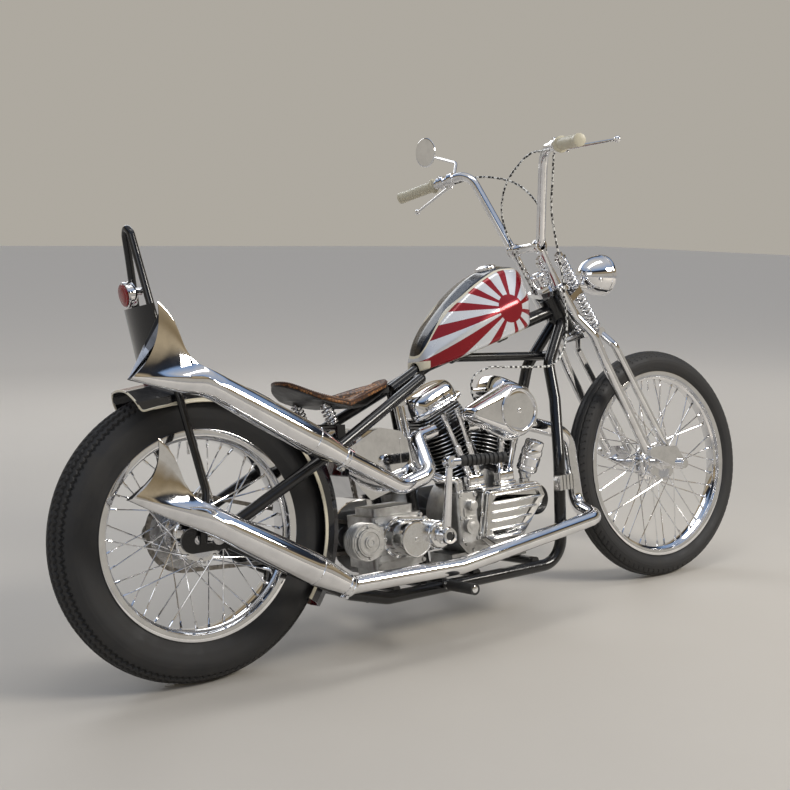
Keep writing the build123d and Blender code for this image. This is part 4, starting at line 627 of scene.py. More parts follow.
def rear_tread(arc, angle):
    """Seven ribs parted by six saw-toothed grooves, 5 mm deep."""
    saw = np.abs(((angle * REAR_TEETH / (2 * math.pi)) % 1) - 0.5) * 4 - 1
    return np.max([5.0 * notch(arc - middle - 3.2 * saw, 3.2) for middle in (-48, -29, -10, 10, 29, 48)], axis=0)


def front_tread(arc, angle):
    """Four grooves with a slight wave, 4 mm deep, and short cuts across the shoulders."""
    wave = 1.28 * np.sin(angle * FRONT_BLOCKS)
    grooves = [4.0 * notch(arc - middle - wave, 3.4) for middle in (-36, -13, 13, 36)]
    cuts = 2.6 * notch(((angle * FRONT_BLOCKS / (2 * math.pi) + np.abs(arc) / 60) % 1) - 0.5, 0.1) * (np.abs(arc) > 42)
    return np.max([*grooves, cuts], axis=0)


def rim(name, radius, half, centre, body, slot, node):
    """A rolled wheel rim: round-lipped flanges, sloping bead seats and a rounded well."""
    seat, well = radius - 17, radius - 26
    profile = []
    for t in np.linspace(0, math.pi, 7):
        profile.append((radius - 2.2 + 2.2 * math.sin(t), -half + 2.4 - 2.4 * math.cos(t)))
    profile += [(seat + 4, -half + 4.2), (seat + 2.4, -half + 6.5), (seat + 2.2, -half * 0.62),
                (seat + 0.5, -half * 0.55), (well + 3.5, -half * 0.4), (well + 2.6, -half * 0.3)]
    outer = profile + [(r, -y) for r, y in profile[::-1]]
    inner = [(seat + 0.6, half - 2.2), (seat - 0.6, half - 5), (seat - 0.6, half * 0.66), (seat - 2, half * 0.56),
             (well + 0.8, half * 0.42), (well, half * 0.3), (well, -half * 0.3), (well + 0.8, -half * 0.42),
             (seat - 2, -half * 0.56), (seat - 0.6, -half * 0.66), (seat - 0.6, -half + 5), (seat + 0.6, -half + 2.2)]
    form = ring_skin(Form(), outer + inner, centre, 180)
    valve = np.array(centre) + (0, 2, well - 3)
    form.turned([(3.2, 0), (3.2, 3), (2.4, 3.5), (2.4, 20), (3.4, 20.5), (3.4, 29), (2.6, 30)], valve,
                (0.05, 0.06, -1), 14)
    form.piece(name, body, CHROME, slot, (node,), sharp=30)


SPOKES = 40
CROSSING = math.radians(52)


def spokes(name, centre, rim_r, flange_r, flange_half, barrel_r, half, body, node):
    """Forty crossed spokes, each with an elbow at its flange and a square nipple at the rim; a turned hub."""
    form = Form()
    centre = np.array(centre)
    end = rim_r - 26.3
    for index in range(SPOKES):
        side = -1 if index % 2 else 1
        leading = 1 if (index // 2) % 2 else -1
        tip_angle = math.radians(360 / SPOKES * (index + 0.5))
        foot_angle = tip_angle + leading * CROSSING
        foot_r = flange_r - 5
        foot = centre + (foot_r * math.cos(foot_angle), side * (flange_half + leading * 3.6),
                         foot_r * math.sin(foot_angle))
        tip = centre + (end * math.cos(tip_angle), side * 5.0, end * math.sin(tip_angle))
        along = unit(tip - foot)
        form.swept([foot - along * 1.5, foot + along * 8, tip - along * 16], [1.9, 1.75, 1.75], 10)
        form.turned([(2.4, 0), (3.0, 1.2), (3.0, 13), (3.6, 15.4), (3.6, 16.6)], tip - along * 17, along, 8)
        head = foot + (0, side * leading * 1.0, 0)
        form.turned([(3.6, -1.2), (3.8, 0), (3.4, 1.4), (1.2, 2.0)], head, (0, side * leading, 0), 12)
    lip, inner = flange_half + 3, flange_half - 3
    profile = [(9.6, -half), (barrel_r * 0.6, -half), (barrel_r * 0.64, -half + 1.5), (barrel_r * 0.64, -lip - 6),
               (barrel_r * 0.8, -lip - 1), (flange_r - 9, -lip), (flange_r - 1.2, -lip), (flange_r, -lip + 1.2),
               (flange_r, -inner - 1.2), (flange_r - 1.2, -inner), (barrel_r + 8, -inner), (barrel_r + 1, -inner + 4),
               (barrel_r - 3, -inner + 12), (barrel_r - 5, 0)]
    profile += [(r, -y) for r, y in profile[-2::-1]]
    ring_skin(form, profile, centre, 96)
    form.piece(name, body, CHROME, "spokes", (node,), sharp=34)


LINKS = 86
CHAIN_Y = 66
CHAIN_LOOP = ((0.0, REAR_Z, 91.5), (470.0, 258.0, 35.5))


def chain_point(share):
    """The loop's point at this share of its length: two straight runs and an arc round each sprocket."""
    big, small = CHAIN_LOOP
    span = math.hypot(small[0] - big[0], small[1] - big[1])
    slope = math.atan2(small[1] - big[1], small[0] - big[0])
    lap = math.asin((big[2] - small[2]) / span)
    run = span * math.cos(lap)
    back, front = big[2] * (math.pi + 2 * lap), small[2] * (math.pi - 2 * lap)
    top, low = slope + math.pi / 2 - lap, slope - math.pi / 2 + lap

    def spot(wheel, angle, further=0.0):
        x, z, radius = wheel
        way = np.array((math.cos(angle - math.pi / 2), math.sin(angle - math.pi / 2)))
        return np.array((x + radius * math.cos(angle), z + radius * math.sin(angle))) + way * further

    s = (share % 1.0) * (2 * run + back + front)
    if s < run:
        return spot(big, top, s)
    s -= run
    if s < front:
        return spot(small, top - s / small[2])
    s -= front
    return spot(small, low, s) if s < run else spot(big, low - (s - run) / big[2])


def chain():
    """86 links: pairs of side plates, inner and outer in turn, each pin with its roller and riveted ends."""
    form = Form()
    pins = [chain_point(index / LINKS) for index in range(LINKS)]
    for index, (here, there) in enumerate(zip(pins, pins[1:] + pins[:1])):
        way = unit(there - here)
        long = float(np.linalg.norm(there - here))
        outline = [(long / 2 + (long / 2 + 5.9 * abs(math.cos(t))) * math.copysign(1, math.cos(t)),
                    5.9 * math.sin(t) * (0.82 + 0.18 * abs(math.cos(t))))
                   for t in np.linspace(0.2, 2 * math.pi + 0.2, 14, False)]
        x_axis, z_axis = np.array((way[0], 0, way[1])), np.array((-way[1], 0, way[0]))
        offset = 3.1 if index % 2 else 4.5
        for y in (CHAIN_Y - offset - 1.3, CHAIN_Y + offset):
            form.slab(outline, (here[0], y + 1.3, here[1]), x_axis, z_axis, 1.3, 0.3)
        form.turned([(4.9, -2.9), (4.9, 2.9)], (here[0], CHAIN_Y, here[1]), LEFT, 10)
        form.turned([(2.0, -6.3), (2.4, -6.0), (2.4, 6.0), (2.0, 6.3)], (here[0], CHAIN_Y, here[1]), LEFT, 8)
    form.piece("chain_links", "chassis", CHAIN, "chain_steel", ("drive_chain",), sharp=30)


TEETH = 36
BOLT_RING = 48


def sprocket():
    """A disc of 36 round-tipped teeth on a turned drum, held by a ring with five bolts."""
    form = Form()
    angle = np.linspace(0, 2 * math.pi, 360, endpoint=False)
    tooth = np.cos(angle * TEETH)
    reach = 91.2 + 3.6 * np.sign(tooth) * np.abs(tooth) ** 0.8
    outline = np.stack([reach * np.cos(angle), reach * np.sin(angle)], axis=-1)
    form.slab(outline, (0, 63.4, REAR_Z), FORWARD, BELOW, 5.2, 0.9)
    profile = [(27, 37.6), (55, 37.6), (58, 40), (58, 60), (61, 62.9), (61, 63.3), (27, 63.3)]
    ring_skin(form, profile, (0, 0, REAR_Z), 96)
    profile = [(27, 68.8), (66, 68.8), (68, 69.8), (66, 71), (30, 71), (27, 70)]
    ring_skin(form, profile, (0, 0, REAR_Z), 96)
    for index in range(5):
        t = 2 * math.pi * index / 5
        form.bolt((BOLT_RING * math.cos(t), 71, REAR_Z + BOLT_RING * math.sin(t)), LEFT, 12)
    form.piece("sprocket_teeth", "rear_wheel", ZINC, "sprocket_steel", ("rear_sprocket",), sharp=30)


REAR_AXLE, FRONT_AXLE = (0, 0, REAR_Z), (WHEELBASE, 0, FRONT_Z)
REAR_RIM, FRONT_RIM = (243.0, 44.0), (281.0, 27.0)
tyre("rear_tyre_tread", "rear_tyre", "rear_wheel", REAR_AXLE, 340.7, 53.8, *REAR_RIM, 58, 51, 8 * REAR_TEETH,
     rear_tread)
tyre("front_tyre_tread", "front_tyre", "front_wheel", FRONT_AXLE, 342.7, 36.8, *FRONT_RIM, 62, 61, 6 * FRONT_BLOCKS,
     front_tread)
rim("rear_rim_rolled", *REAR_RIM, REAR_AXLE, "rear_wheel", "rim_rear", "rear_rim")
rim("front_rim_rolled", *FRONT_RIM, FRONT_AXLE, "front_wheel", "rim_front", "front_rim")
spokes("rear_wheel_spokes", REAR_AXLE, REAR_RIM[0], 62.0, 34.0, 34.0, 60.0, "rear_wheel", "rear_spokes")
spokes("front_wheel_spokes", FRONT_AXLE, FRONT_RIM[0], 56.0, 30.0, 30.0, 52.0, "front_wheel", "front_spokes")
chain()
sprocket()


# Engine and gearbox

ENGINE = np.array((815.0, 0.0, 283.0))
BANKS = {"rear": math.radians(-22.5), "front": math.radians(22.5)}


def bank_axes(bank):
    """Along the barrel, and forward across it."""
    lean = BANKS[bank]
    return np.array([math.sin(lean), 0, math.cos(lean)]), np.array([math.cos(lean), 0, -math.sin(lean)])


def rounded(wide, deep, radius, steps=10):
    """A rectangle's outline with round corners."""
    ring = []
    for x, y, start in ((1, 1, 0), (-1, 1, 1), (-1, -1, 2), (1, -1, 3)):
        for t in np.linspace(0, math.pi / 2, steps):
            a = t + start * math.pi / 2
            ring.append((x * (wide / 2 - radius) + radius * math.cos(a),
                         y * (deep / 2 - radius) + radius * math.sin(a)))
    return np.array(ring)


def fillet(corners, radius, steps=7):
    """A closed outline with each of its corners rounded by this radius."""
    corners = np.asarray(corners, float)
    ring = []
    for before, corner, after in zip(np.roll(corners, 1, axis=0), corners, np.roll(corners, -1, axis=0)):
        ring += corner_arc(before, corner, after, radius, steps)
    return np.array(ring)


FINS, FIN_PITCH = 13, 10.5
HEAD_FINS, HEAD_PITCH = 6, 8.2


def cylinders():
    """Black finned barrels and heads, the fins' edges ground bright, with head bolts and spark plugs."""
    form = Form()
    across = np.array((0, 1.0, 0))
    for bank in BANKS:
        axis, ahead = bank_axes(bank)
        form.turned([(50, 104), (50, 268)], ENGINE, axis, 56)
        form.slab(rounded(112, 108, 20), ENGINE + axis * 112, ahead, across, 9, 1)
        for index in range(FINS):
            high = 130 + FIN_PITCH * index
            form.turned([(49, high - 1.5), (68, high - 1.35), (69.2, high - 1.0)], ENGINE, axis, 72)
            form.turned([(68.2, high - 1.2), (69.4, high - 1.0), (69.9, high), (69.4, high + 1.0), (68.2, high + 1.2)],
                        ENGINE, axis, 72, tag=1)
            form.turned([(69.2, high + 1.0), (68, high + 1.35), (49, high + 1.5)], ENGINE, axis, 72)
        form.slab(rounded(104, 92, 30), ENGINE + axis * 266, ahead, across, 52, 1)
        for index in range(HEAD_FINS):
            high = 271 + HEAD_PITCH * index
            grow = 1 - 0.02 * index
            form.slab(rounded(150 * grow, 115 * grow, 26), ENGINE + axis * (high - 1.2), ahead, across, 2.4, 0.5)
            rim = rounded(151 * grow, 115.6 * grow, 26)
            form.grid([laid(rim * (1 - (1.2 - 1.2 * math.cos(t)) / 70), ENGINE + axis * (high + 1.2 * math.sin(t)),
                            ahead, across) for t in np.linspace(0, 2 * math.pi, 6, endpoint=False)], True, 1)
        for x, y in ((-46, -42), (46, -42), (-46, 42), (46, 42)):
            form.bolt(ENGINE + axis * 121 + ahead * x + across * y, axis, 13, tag=1)
        plug = ENGINE + axis * 294 + across * -57
        form.turned([(9, -8), (9, 1), (8, 2)], plug, -across, 24, tag=1)
        form.turned([(9.2, 2), (9.2, 6)], plug, -across, 6, tag=1)
    form.piece("finned_cylinders", "chassis", IRON, "barrel_iron", ("cylinders",), sharp=34, extra=(POLISHED,))


def rocker_covers():
    """Pan-shaped covers: a wide bolted flange, a soft shoulder and a shallow dished top."""
    form = Form()
    across = np.array((0, 1.0, 0))
    for bank in BANKS:
        axis, ahead = bank_axes(bank)
        base = ENGINE + axis * 318

        def ring(wide, deep, radius, high):
            return laid(rounded(wide, deep, radius, 14), base + axis * high, ahead, across)

        rows = [ring(172, 124, 44, 0.2), ring(175.4, 127.4, 46, 1.6), ring(175.6, 127.6, 46, 7),
                ring(174, 126, 45, 8.6), ring(166, 118, 41, 9.2), ring(157, 110, 38, 9.6), ring(154.5, 107, 37, 11.5)]
        for t in np.linspace(0, 1, 12):
            turn = t * math.pi / 2
            rows.append(ring(153 - 34 * (1 - math.cos(turn)), 106 - 30 * (1 - math.cos(turn)), 37 - 10 * t,
                             14 + 41 * math.sin(turn)))
        rows += [ring(112, 68, 26, 55.6), ring(104, 60, 24, 54.6), ring(96, 54, 22, 55.4), ring(60, 30, 14, 57),
                 ring(8, 6, 2.9, 57.4)]
        form.grid(rows)
        for x, y in ((-74, -30), (-74, 30), (74, -30), (74, 30), (-38, -56.5), (38, -56.5), (-38, 56.5), (38, 56.5),
                     (0, -56.5), (0, 56.5)):
            form.bolt(base + axis * 8.4 + ahead * x + across * y, axis, 9, 4)
    form.piece("rocker_cover_pans", "chassis", CHROME, "chrome", ("rocker_covers",), sharp=36)


def timing_cover():
    """A cast nose over the timing gears: a stepped rim with screws, six raised ribs and a polished face."""
    form = Form()
    outline = fillet(((735, 232), (760, 358), (948, 358), (962, 318), (868, 210), (770, 206)), 15)
    middle = outline.mean(axis=0)

    def inset(amount):
        before, after = np.roll(outline, 1, axis=0), np.roll(outline, -1, axis=0)
        way = after - before
        square = np.stack([-way[:, 1], way[:, 0]], axis=-1) / np.linalg.norm(way, axis=1)[:, None]
        if ((middle - outline) * square).sum() < 0:
            square = -square
        return outline + square * amount

    form.grid([ring_at(inset(amount), depth) for amount, depth in (
        (0.8, -102.2), (0, -103), (0, -112), (0.8, -113), (3, -113.4), (4, -115), (4.8, -122), (6.0, -129),
        (8.5, -132.6), (12, -133.6), (34, -134.0))])
    edge = inset(12)
    for high in np.linspace(229, 341, 6):
        crossing = [p[0] + (q[0] - p[0]) * (high - p[1]) / (q[1] - p[1])
                    for p, q in zip(edge, np.roll(edge, -1, axis=0)) if (p[1] - high) * (q[1] - high) < 0]
        left, right = min(crossing) + 6, max(crossing) - 8
        form.swept([(left, -134, high - 1.5), (left + 9, -135.2, high - 1), (right - 9, -135.2, high + 1),
                    (right, -134, high + 1.5)], [2.4, 3.4, 3.4, 2.4], 12)
    for x, z in ((743, 240), (752, 292), (764, 350), (850, 352), (940, 350), (953, 314), (905, 262), (862, 216),
                 (782, 213)):
        form.turned([(6.5, 0), (6.5, 4), (5.6, 5.2), (2.6, 5.4), (2.2, 3.6)], (x, -112.4, z), RIGHT, 20)
    form.piece("timing_cover_nose", "chassis", POLISHED, "polished_alloy", ("timing_cover",), sharp=36)


SCREW = ((5.2, 0), (5.2, 3.4), (4.4, 4.4), (2.2, 4.6), (1.9, 3.4))


def primary_cover():
    """A cover over two discs: a flange, a rounded shoulder and a flat face, with screws and two shallow rings."""
    form = Form()
    discs, step = ((508, 258, 97.6), (815, 283, 83.6)), 7.5
    base, face, tall = 88.4, 137.6, 0.1
    deep = face - base
    form.grid([ring_at(hull_of(drawn_in(discs, amount, 4), 96), base + deep * share) for amount, share in (
        (0.8, 0), (0, 0.02), (0, 0.13), (0.8, 0.15), (step, 0.17), (step + 2, 0.22), (step + 2.5, 0.6),
        (step + 5.5, 0.84), (step + 11, 0.96), (step + 17, 0.99), (step + 24, 1.0))])
    for x, z in hull_of(drawn_in(discs, step * 0.5), 16):
        form.turned(SCREW, (x, base + deep * 0.15, z), LEFT, 16)
    for radius, (x, z, _) in zip((46, 34), discs):
        form.turned([(radius, -2), (radius, tall * 0.7), (radius * 0.92, tall), (radius * 0.6, tall + 0.3),
                     (radius * 0.5, tall * 0.8), (radius * 0.2, tall * 0.8)], (x, face, z), LEFT, 40)
    form.piece("primary_cover_shell", "chassis", CHROME, "chrome", ("primary_cover",), sharp=36)


CLEANER_X, CLEANER_Z = 812, 556


def air_cleaner():
    """A chromed teardrop cover: a rolled rim, a swelling side, a plain oval face with a raised ring, two screws."""
    form = Form()
    discs = ((CLEANER_X, CLEANER_Z, 74.8), (684.0, 560.0, 19.8))

    def ring(amount, y):
        shape = hull_of([(x, z, max(r - amount * (0.35 if r < 30 else 1), 1.5)) for x, z, r in discs], 120)
        return ring_at(shape, y)

    rows = [ring(3, -178.4), ring(0.8, -178.4), ring(0, -179.4), ring(0, -184), ring(0.8, -185), ring(3, -185.6)]
    for t in np.linspace(0, 1, 11):
        rows.append(ring(4.2 + 16 * (1 - math.cos(t * math.pi / 2)), -187 - 35.5 * math.sin(t * math.pi / 2)))
    rows += [ring(24, -223.4), ring(34, -223.8), ring(50, -223.8)]
    form.grid(rows)
    form.turned([(57.5, 1), (57.5, -3.4), (56.5, -4.6), (54, -5.0), (51.5, -4.4), (50.6, -3.0), (50.6, 1)],
                (CLEANER_X, -223.8, CLEANER_Z), LEFT, 80)
    for spot in ((CLEANER_X, -223.8, CLEANER_Z), (700, -215.5, 560)):
        form.turned([(6.4, -4), (6.4, 1.2), (5.6, 2.4), (3.4, 3.0), (0.6, 3.1)], spot, RIGHT, 24)
    form.piece("air_cleaner_cover", "chassis", CHROME, "chrome", ("air_cleaner",), sharp=40)


KICK_SHAFT = (566, 0, 270)


def kicker_cover():
    """A screwed base over two discs, a deep drum with a flat polished lid, and the kick shaft's ringed housing."""
    form = Form()
    discs = ((500, 268, 51.6), (566, 270, 41.6))
    form.grid([ring_at(hull_of(drawn_in(discs, amount), 96), y) for amount, y in (
        (0.8, -86), (0, -88), (0, -99), (0.8, -100.5), (6, -101), (8, -104), (8.6, -122), (12, -128), (20, -130.4))])
    for x, z in hull_of(drawn_in(discs, 3.4), 10):
        form.turned(SCREW, (x, -100.4, z), RIGHT, 16)
    form.turned([(41.5, -124), (42.5, -128), (42.5, -164), (43.6, -165), (43.6, -172), (42.4, -174.4), (39.4, -175),
                 (38.8, -173.8), (6, -173.4), (5, -175.2), (2, -175.4)], (500, 0, 268), LEFT, 72)
    form.turned([(33, -124), *ribs(5, -128, -9.4, ((35.4, 0), (35.4, -5.6), (33.4, -6.6), (33.4, -8.6))),
                 (33, -178), (30, -182.4), (20, -185.2), (6, -185.3)], KICK_SHAFT, LEFT, 64)
    form.piece("kicker_cover_dome", "chassis", POLISHED, "polished_alloy", ("kicker_cover",), sharp=36)


cylinders()
rocker_covers()
timing_cover()
air_cleaner()
kicker_cover()
primary_cover()


# Engine's smaller pieces

def pushrods():
    """Four telescoping tubes with ringed collars and clips, on two bolted tappet blocks."""
    form = Form()
    for foot_x, top_x, top_z, foot_y, top_y in ((742, 676, 562, -86, -76), (770, 724, 572, -86, -74),
                                                (842, 880, 572, -86, -74), (872, 938, 562, -86, -76)):
        foot, top = np.array((foot_x, foot_y, 390.0)), np.array((top_x, top_y, float(top_z)))
        long = float(np.linalg.norm(top - foot))
        half = long / 2
        profile = [(10.2, 0), (10.4, 5), (9.4, 7), (9.4, 13), (10.3, 14), (10.3, 17), (9.2, 18), (9.2, half - 14),
                   (10.4, half - 12), (10.4, half - 1), (9.4, half), (7.0, half + 1), (7.0, long - 26),
                   (8.3, long - 24), (8.3, long - 17), (7.4, long - 15), (7.4, long - 9), (8.4, long - 8), (8.4, long)]
        form.turned(profile, foot, top - foot, 32)
        form.swept([foot + unit(top - foot) * 16 + (0, -9.8, 0), foot + unit(top - foot) * half * 0.9 + (0, -9.6, 0)],
                   1.0, 8)
    for x in (756, 857):
        form.slab(fillet(((x - 30.6, -99.6), (x + 30.6, -99.6), (x + 30.6, -68.4), (x - 30.6, -68.4)), 7),
                  (0, 0, 358.6), FORWARD, LEFT, 9, 1)
        form.slab(fillet(((x - 26, -98), (x + 26, -98), (x + 26, -70), (x - 26, -70)), 6), (0, 0, 367), FORWARD, LEFT,
                  26.6, 2)
        for side in (-1, 1):
            form.bolt((x + side * 24, -84, 367), ABOVE, 8, 4)
        form.turned([(5.5, 0), (5.5, 1.6), (4.6, 2.2)], (x, -97.8, 381), RIGHT, 6)
    form.piece("pushrod_covers", "chassis", CHROME, "chrome", ("pushrod_tubes",), sharp=36)


BOWL_X, BOWL_Y = 815, -128
MANIFOLD = (0, -34, 520)


def carburettor_detail():
    """The throat with its flanges, a square body with four screws, a round bowl below, and the manifold's bands."""
    form = Form()
    form.turned([(23.5, -177.4), (23.8, -170), (20, -168), (18.6, -160), (18.6, -100), (22, -98), (22, -90), (17, -88),
                 (17, -42)], (CLEANER_X, 0, CLEANER_Z), LEFT, 48)
    form.slab(rounded(54, 54, 9), (BOWL_X, BOWL_Y, 532), FORWARD, LEFT, 12, 1.5)
    form.slab(rounded(61.4, 61.4, 12), (BOWL_X, BOWL_Y, 527.6), FORWARD, LEFT, 5, 1)
    form.turned([(0.5, 495.6), (20, 495.6), (25, 497.5), (28, 502), (28.6, 510), (28.6, 527)], (BOWL_X, BOWL_Y, 0),
                ABOVE, 56)
    form.turned([(7, 495.2), (7, 499)], (BOWL_X, BOWL_Y, 0), ABOVE, 6)
    for x, y in ((-23, -23), (23, -23), (23, 23), (-23, 23)):
        form.turned([(3.6, 0), (3.6, 2.4), (2.8, 3.2), (1.2, 3.3)], (BOWL_X + x, BOWL_Y + y, 532.4), ABOVE, 14)
    form.turned([(17.6, 779.4), (17.8, 781), (17.8, 849), (17.6, 850.6)], MANIFOLD, FORWARD, 40)
    for x in (786, 838):
        form.turned([(14, x - 4), (17.9, x - 4), (17.9, x + 4), (14, x + 4)], MANIFOLD, FORWARD, 40)
    form.piece("carburettor_detail", "chassis", POLISHED, "polished_alloy", ("carburettor",), sharp=36)


def timer_detail():
    """The timer: a clamped stem, a ringed body leaning outward, and a cap held by two spring clips."""
    form = Form()
    form.turned([(14.6, 358.6), (14.6, 366), (12.4, 368), (12.4, 380), (14.8, 381), (14.8, 390)], (926, -84, 0),
                ABOVE, 40)
    axis = unit((14, -22, 64))
    start = np.array((929.0, -90.0, 384.0))
    form.turned([(18, 0), (25, 2), (28.4, 6), (28.8, 9), (28.8, 17), (27.6, 18.4), (27.6, 21), (28.8, 22.4), (28.8, 43),
                 (27, 45), (27, 50), (28.6, 51), (28.6, 60), (26.5, 66), (24.5, 70)], start, axis, 64)
    form.turned([(25.8, 66), (25.8, 83), (24.2, 88), (20, 90.6), (8, 91.6), (3, 91.7)], start, axis, 64)
    for side in (-1, 1):
        place = start + axes_for(axis)[0] * 27.4 * side
        form.swept([place + axis * 46, place + axis * 56, place + axis * 72 - axes_for(axis)[0] * 2.4 * side], 1.2, 8)
    form.turned([(7.4, 0), (7.4, 5), (6, 6)], (929, -97.5, 374), (0, -1, 0.1), 6)
    form.piece("timer_detail", "chassis", CHROME, "chrome", ("ignition_timer",), sharp=36)


GENERATOR_X, GENERATOR_Z = 988, 300


def generator_detail():
    """A chrome band at each end of the generator and a low boss on its outer end."""
    form = Form()
    for low, high in ((-55.6, -47), (80, 88.5)):
        form.turned([(42.0, low), (43.4, low + 0.8), (43.4, high - 0.8), (42.0, high)], (GENERATOR_X, 0, GENERATOR_Z),
                    LEFT, 72)
    form.turned([(20, 0), (20, 1.2), (10, 1.8), (6, 2.2)], (GENERATOR_X, -55.9, GENERATOR_Z), RIGHT, 40)
    form.piece("generator_bands", "chassis", CHROME, "chrome", (), sharp=36)


def regulator_detail():
    """Nine upright fins on a block, with the boss it stands on."""
    form = Form()
    form.slab(rounded(51, 39, 4), (1008, -139.4, 348), FORWARD, ABOVE, 14, 1)
    for index in range(9):
        x = 984.4 + 5.9 * index
        form.slab(((x - 1.3, 329), (x + 1.3, 329), (x + 1.3, 367), (x - 1.3, 367)), (0, -150, 0), FORWARD, ABOVE, 14.6,
                  0.6)
    form.slab(rounded(22, 18, 3), (1020, -122.6, 348), FORWARD, ABOVE, 18, 0.5)
    form.piece("regulator_fins", "chassis", POLISHED, "polished_alloy", (), sharp=30)


def kick_detail():
    """The kick-starter: a hub with a pinch bolt, a forged arm grooved on both sides, a clevis and a ribbed rubber."""
    form = Form()
    form.turned([(8, -186.6), (19.4, -186.6), (19.8, -188), (19.8, -219), (18.6, -221.4), (12.4, -221.8),
                 (11.6, -217)], KICK_SHAFT, LEFT, 48)
    form.turned([(8.4, -214), (10.6, -219.2), (3, -219.3)], KICK_SHAFT, LEFT, 6, tag=1)
    form.turned([(5, 0), (5, 44), (4, 45)], (546, -204, 258), FORWARD, 20)
    form.bolt((589.5, -204, 258), FORWARD, 11, 3)
    foot, tip = np.array((566.0, -206.0, 284.0)), np.array((562.0, -244.0, 440.0))
    along, front = unit(tip - foot), np.array((1.0, 0, 0.0))
    side = unit(np.cross(along, front))
    rows = []
    for share in np.linspace(0, 1, 9):
        middle = foot + (tip - foot) * share
        wide, deep = 11.6 - 3.4 * share, 8.6 - 1.8 * share
        ring = []
        for t in np.linspace(0, 2 * math.pi, 40, endpoint=False):
            dent = 1 - 0.30 * math.exp(-((math.sin(t) ** 2 - 1) / 0.14) ** 2)
            ring.append(middle + front * wide * math.copysign(abs(math.cos(t)) ** 0.7, math.cos(t))
                        + side * deep * dent * math.copysign(abs(math.sin(t)) ** 0.7, math.sin(t)))
        rows.append(ring)
    form.grid(rows)
    form.turned([(10, -237), (14.4, -237), (14.8, -238.5), (14.8, -259), (14.0, -260.6), (8, -261)], (562, 0, 452),
                LEFT, 40)
    form.turned([(4.4, -234.6), (6, -236), (6, -262), (4.4, -263)], (562, 0, 452), LEFT, 6)
    elbow, end = np.array((562.0, -254.0, 452.0)), np.array((700.0, -290.0, 450.0))
    way = unit(end - elbow)
    long = float(np.linalg.norm(end - elbow))
    form.turned([(8.4, 4), (8.8, 8), (8.8, 34)], elbow, way, 32)
    form.turned([(8.5, 24), (13.2, 24.5), (13.7, 27),
                 *ribs(9, 29, 11.4, ((13.7, 0), (13.7, 6.6), (10.8, 7.6), (10.8, 10.2))),
                 (13.7, long - 9), (13.7, long - 1), (12.4, long + 0.4), (3, long + 0.8)], elbow, way, 36, tag=1)
    form.piece("kick_crank", "chassis", CHROME, "chrome", ("kick_starter",), sharp=34, extra=(BLACK_RUBBER,))


def gearbox_detail():
    """Five ribs along the gearbox's lid and the lid's six screws."""
    form = Form()
    for x in (456, 482, 508, 534, 560):
        form.slab(((x - 2, 334), (x + 2, 334), (x + 2, 342.4), (x - 2, 342.4)), (0, 24, 0), FORWARD, ABOVE, 88, 0.6)
    for x, y in ((456, -64), (508, -64), (560, -64), (456, 24), (508, 24), (560, 24)):
        form.turned([(5.2, 0), (5.2, 0.8), (4.4, 1.2)], (x, y, 341.7), ABOVE, 6)
    form.piece("gearbox_lid_ribs", "chassis", CAST, "engine_alloy", (), sharp=30)


# Springs

def fork_springs():
    """Chromed coils on the rods: two long below the perch and two above it, each between turned cups."""
    form = Form()
    for low, high, turns in ((488.0, 603.0, 9), (624.0, 722.0, 8)):
        for side in (-1, 1):
            start, end = fork_point(low + 0.4, 72, 40 * side), fork_point(high - 0.4, 72, 40 * side)
            coil(start + UP * 3, end - UP * 3, 15.0, 2.9, turns, form, samples=20, wire_steps=10)
            form.turned([(6.6, 0), (17.8, 0), (17.8, 2.4), (15, 3.4), (6.6, 3.4)], start, UP, 36)
            form.turned([(6.6, 0), (17.8, 0), (17.8, 2.4), (15, 3.4), (6.6, 3.4)], end, -UP, 36)
    form.piece("fork_coils", "fork", CHROME, "chrome", ("fork_springs",), sharp=36)


def seat_spring_coils():
    """Barrel-shaped coils on a short post each, between the crossbar and the seat pan."""
    form = Form()
    for side in (-1, 1):
        foot = np.array((349.0, 75.0 * side, 567.6))
        top = np.array((327.0, 75.0 * side, 617.0))
        axis = unit(top - foot)
        form.turned([(5, 0.2), (13.5, 0.2), (13.5, 2.8), (6, 4)], foot, axis, 28)
        form.turned([(4.6, 2), (4.6, float(np.linalg.norm(top - foot)) - 2)], foot, axis, 20)
        coil(foot + axis * 3, top - axis * 6, lambda t: 9.5 + 5.0 * np.sin(np.clip(t, 0, 1) * math.pi), 2.5, 5.5, form,
             samples=22, wire_steps=10)
        form.turned([(4.6, -7), (12, -7), (12, -4.6), (7, -3.4), (7, -0.6)], top, axis, 28)
    form.piece("seat_coils", "chassis", CHROME, "chrome", ("seat_springs",), sharp=36)


fork_springs()
seat_spring_coils()
pushrods()
carburettor_detail()
timer_detail()
generator_detail()
regulator_detail()
kick_detail()
gearbox_detail()


# Controls and lamps

BAR_END = np.array((929.0, -393.0, 1214.0))
BAR_ALONG = unit(np.array((1018.0, -165.0, 1248.0)) - BAR_END)


def grips():
    """Cream rubber grips: a rounded outer flange, a slightly waisted barrel with fine rings and an inner flange."""
    form = Form()
    profile = [(3, -5.8), (14.8, -5.6), (16.8, -4.2), (16.9, -1), (16.9, 9), (16.4, 11), (15.6, 12.4)]
    profile += ribs(14, 14, 7.2, ((15.6, 0), (16.3, 1.2), (16.3, 5.2), (15.6, 6.4)))
    profile += [(15.6, 115), (21, 116.6), (21.8, 118), (21.8, 122), (21, 123.6), (12.9, 123.8)]
    for side in (1, -1):
        form.turned(profile, BAR_END * (1, side, 1), BAR_ALONG * (1, side, 1), 48)
    form.piece("ringed_grips", "fork", CREAM, "grip_rubber", ("grips",), sharp=40)


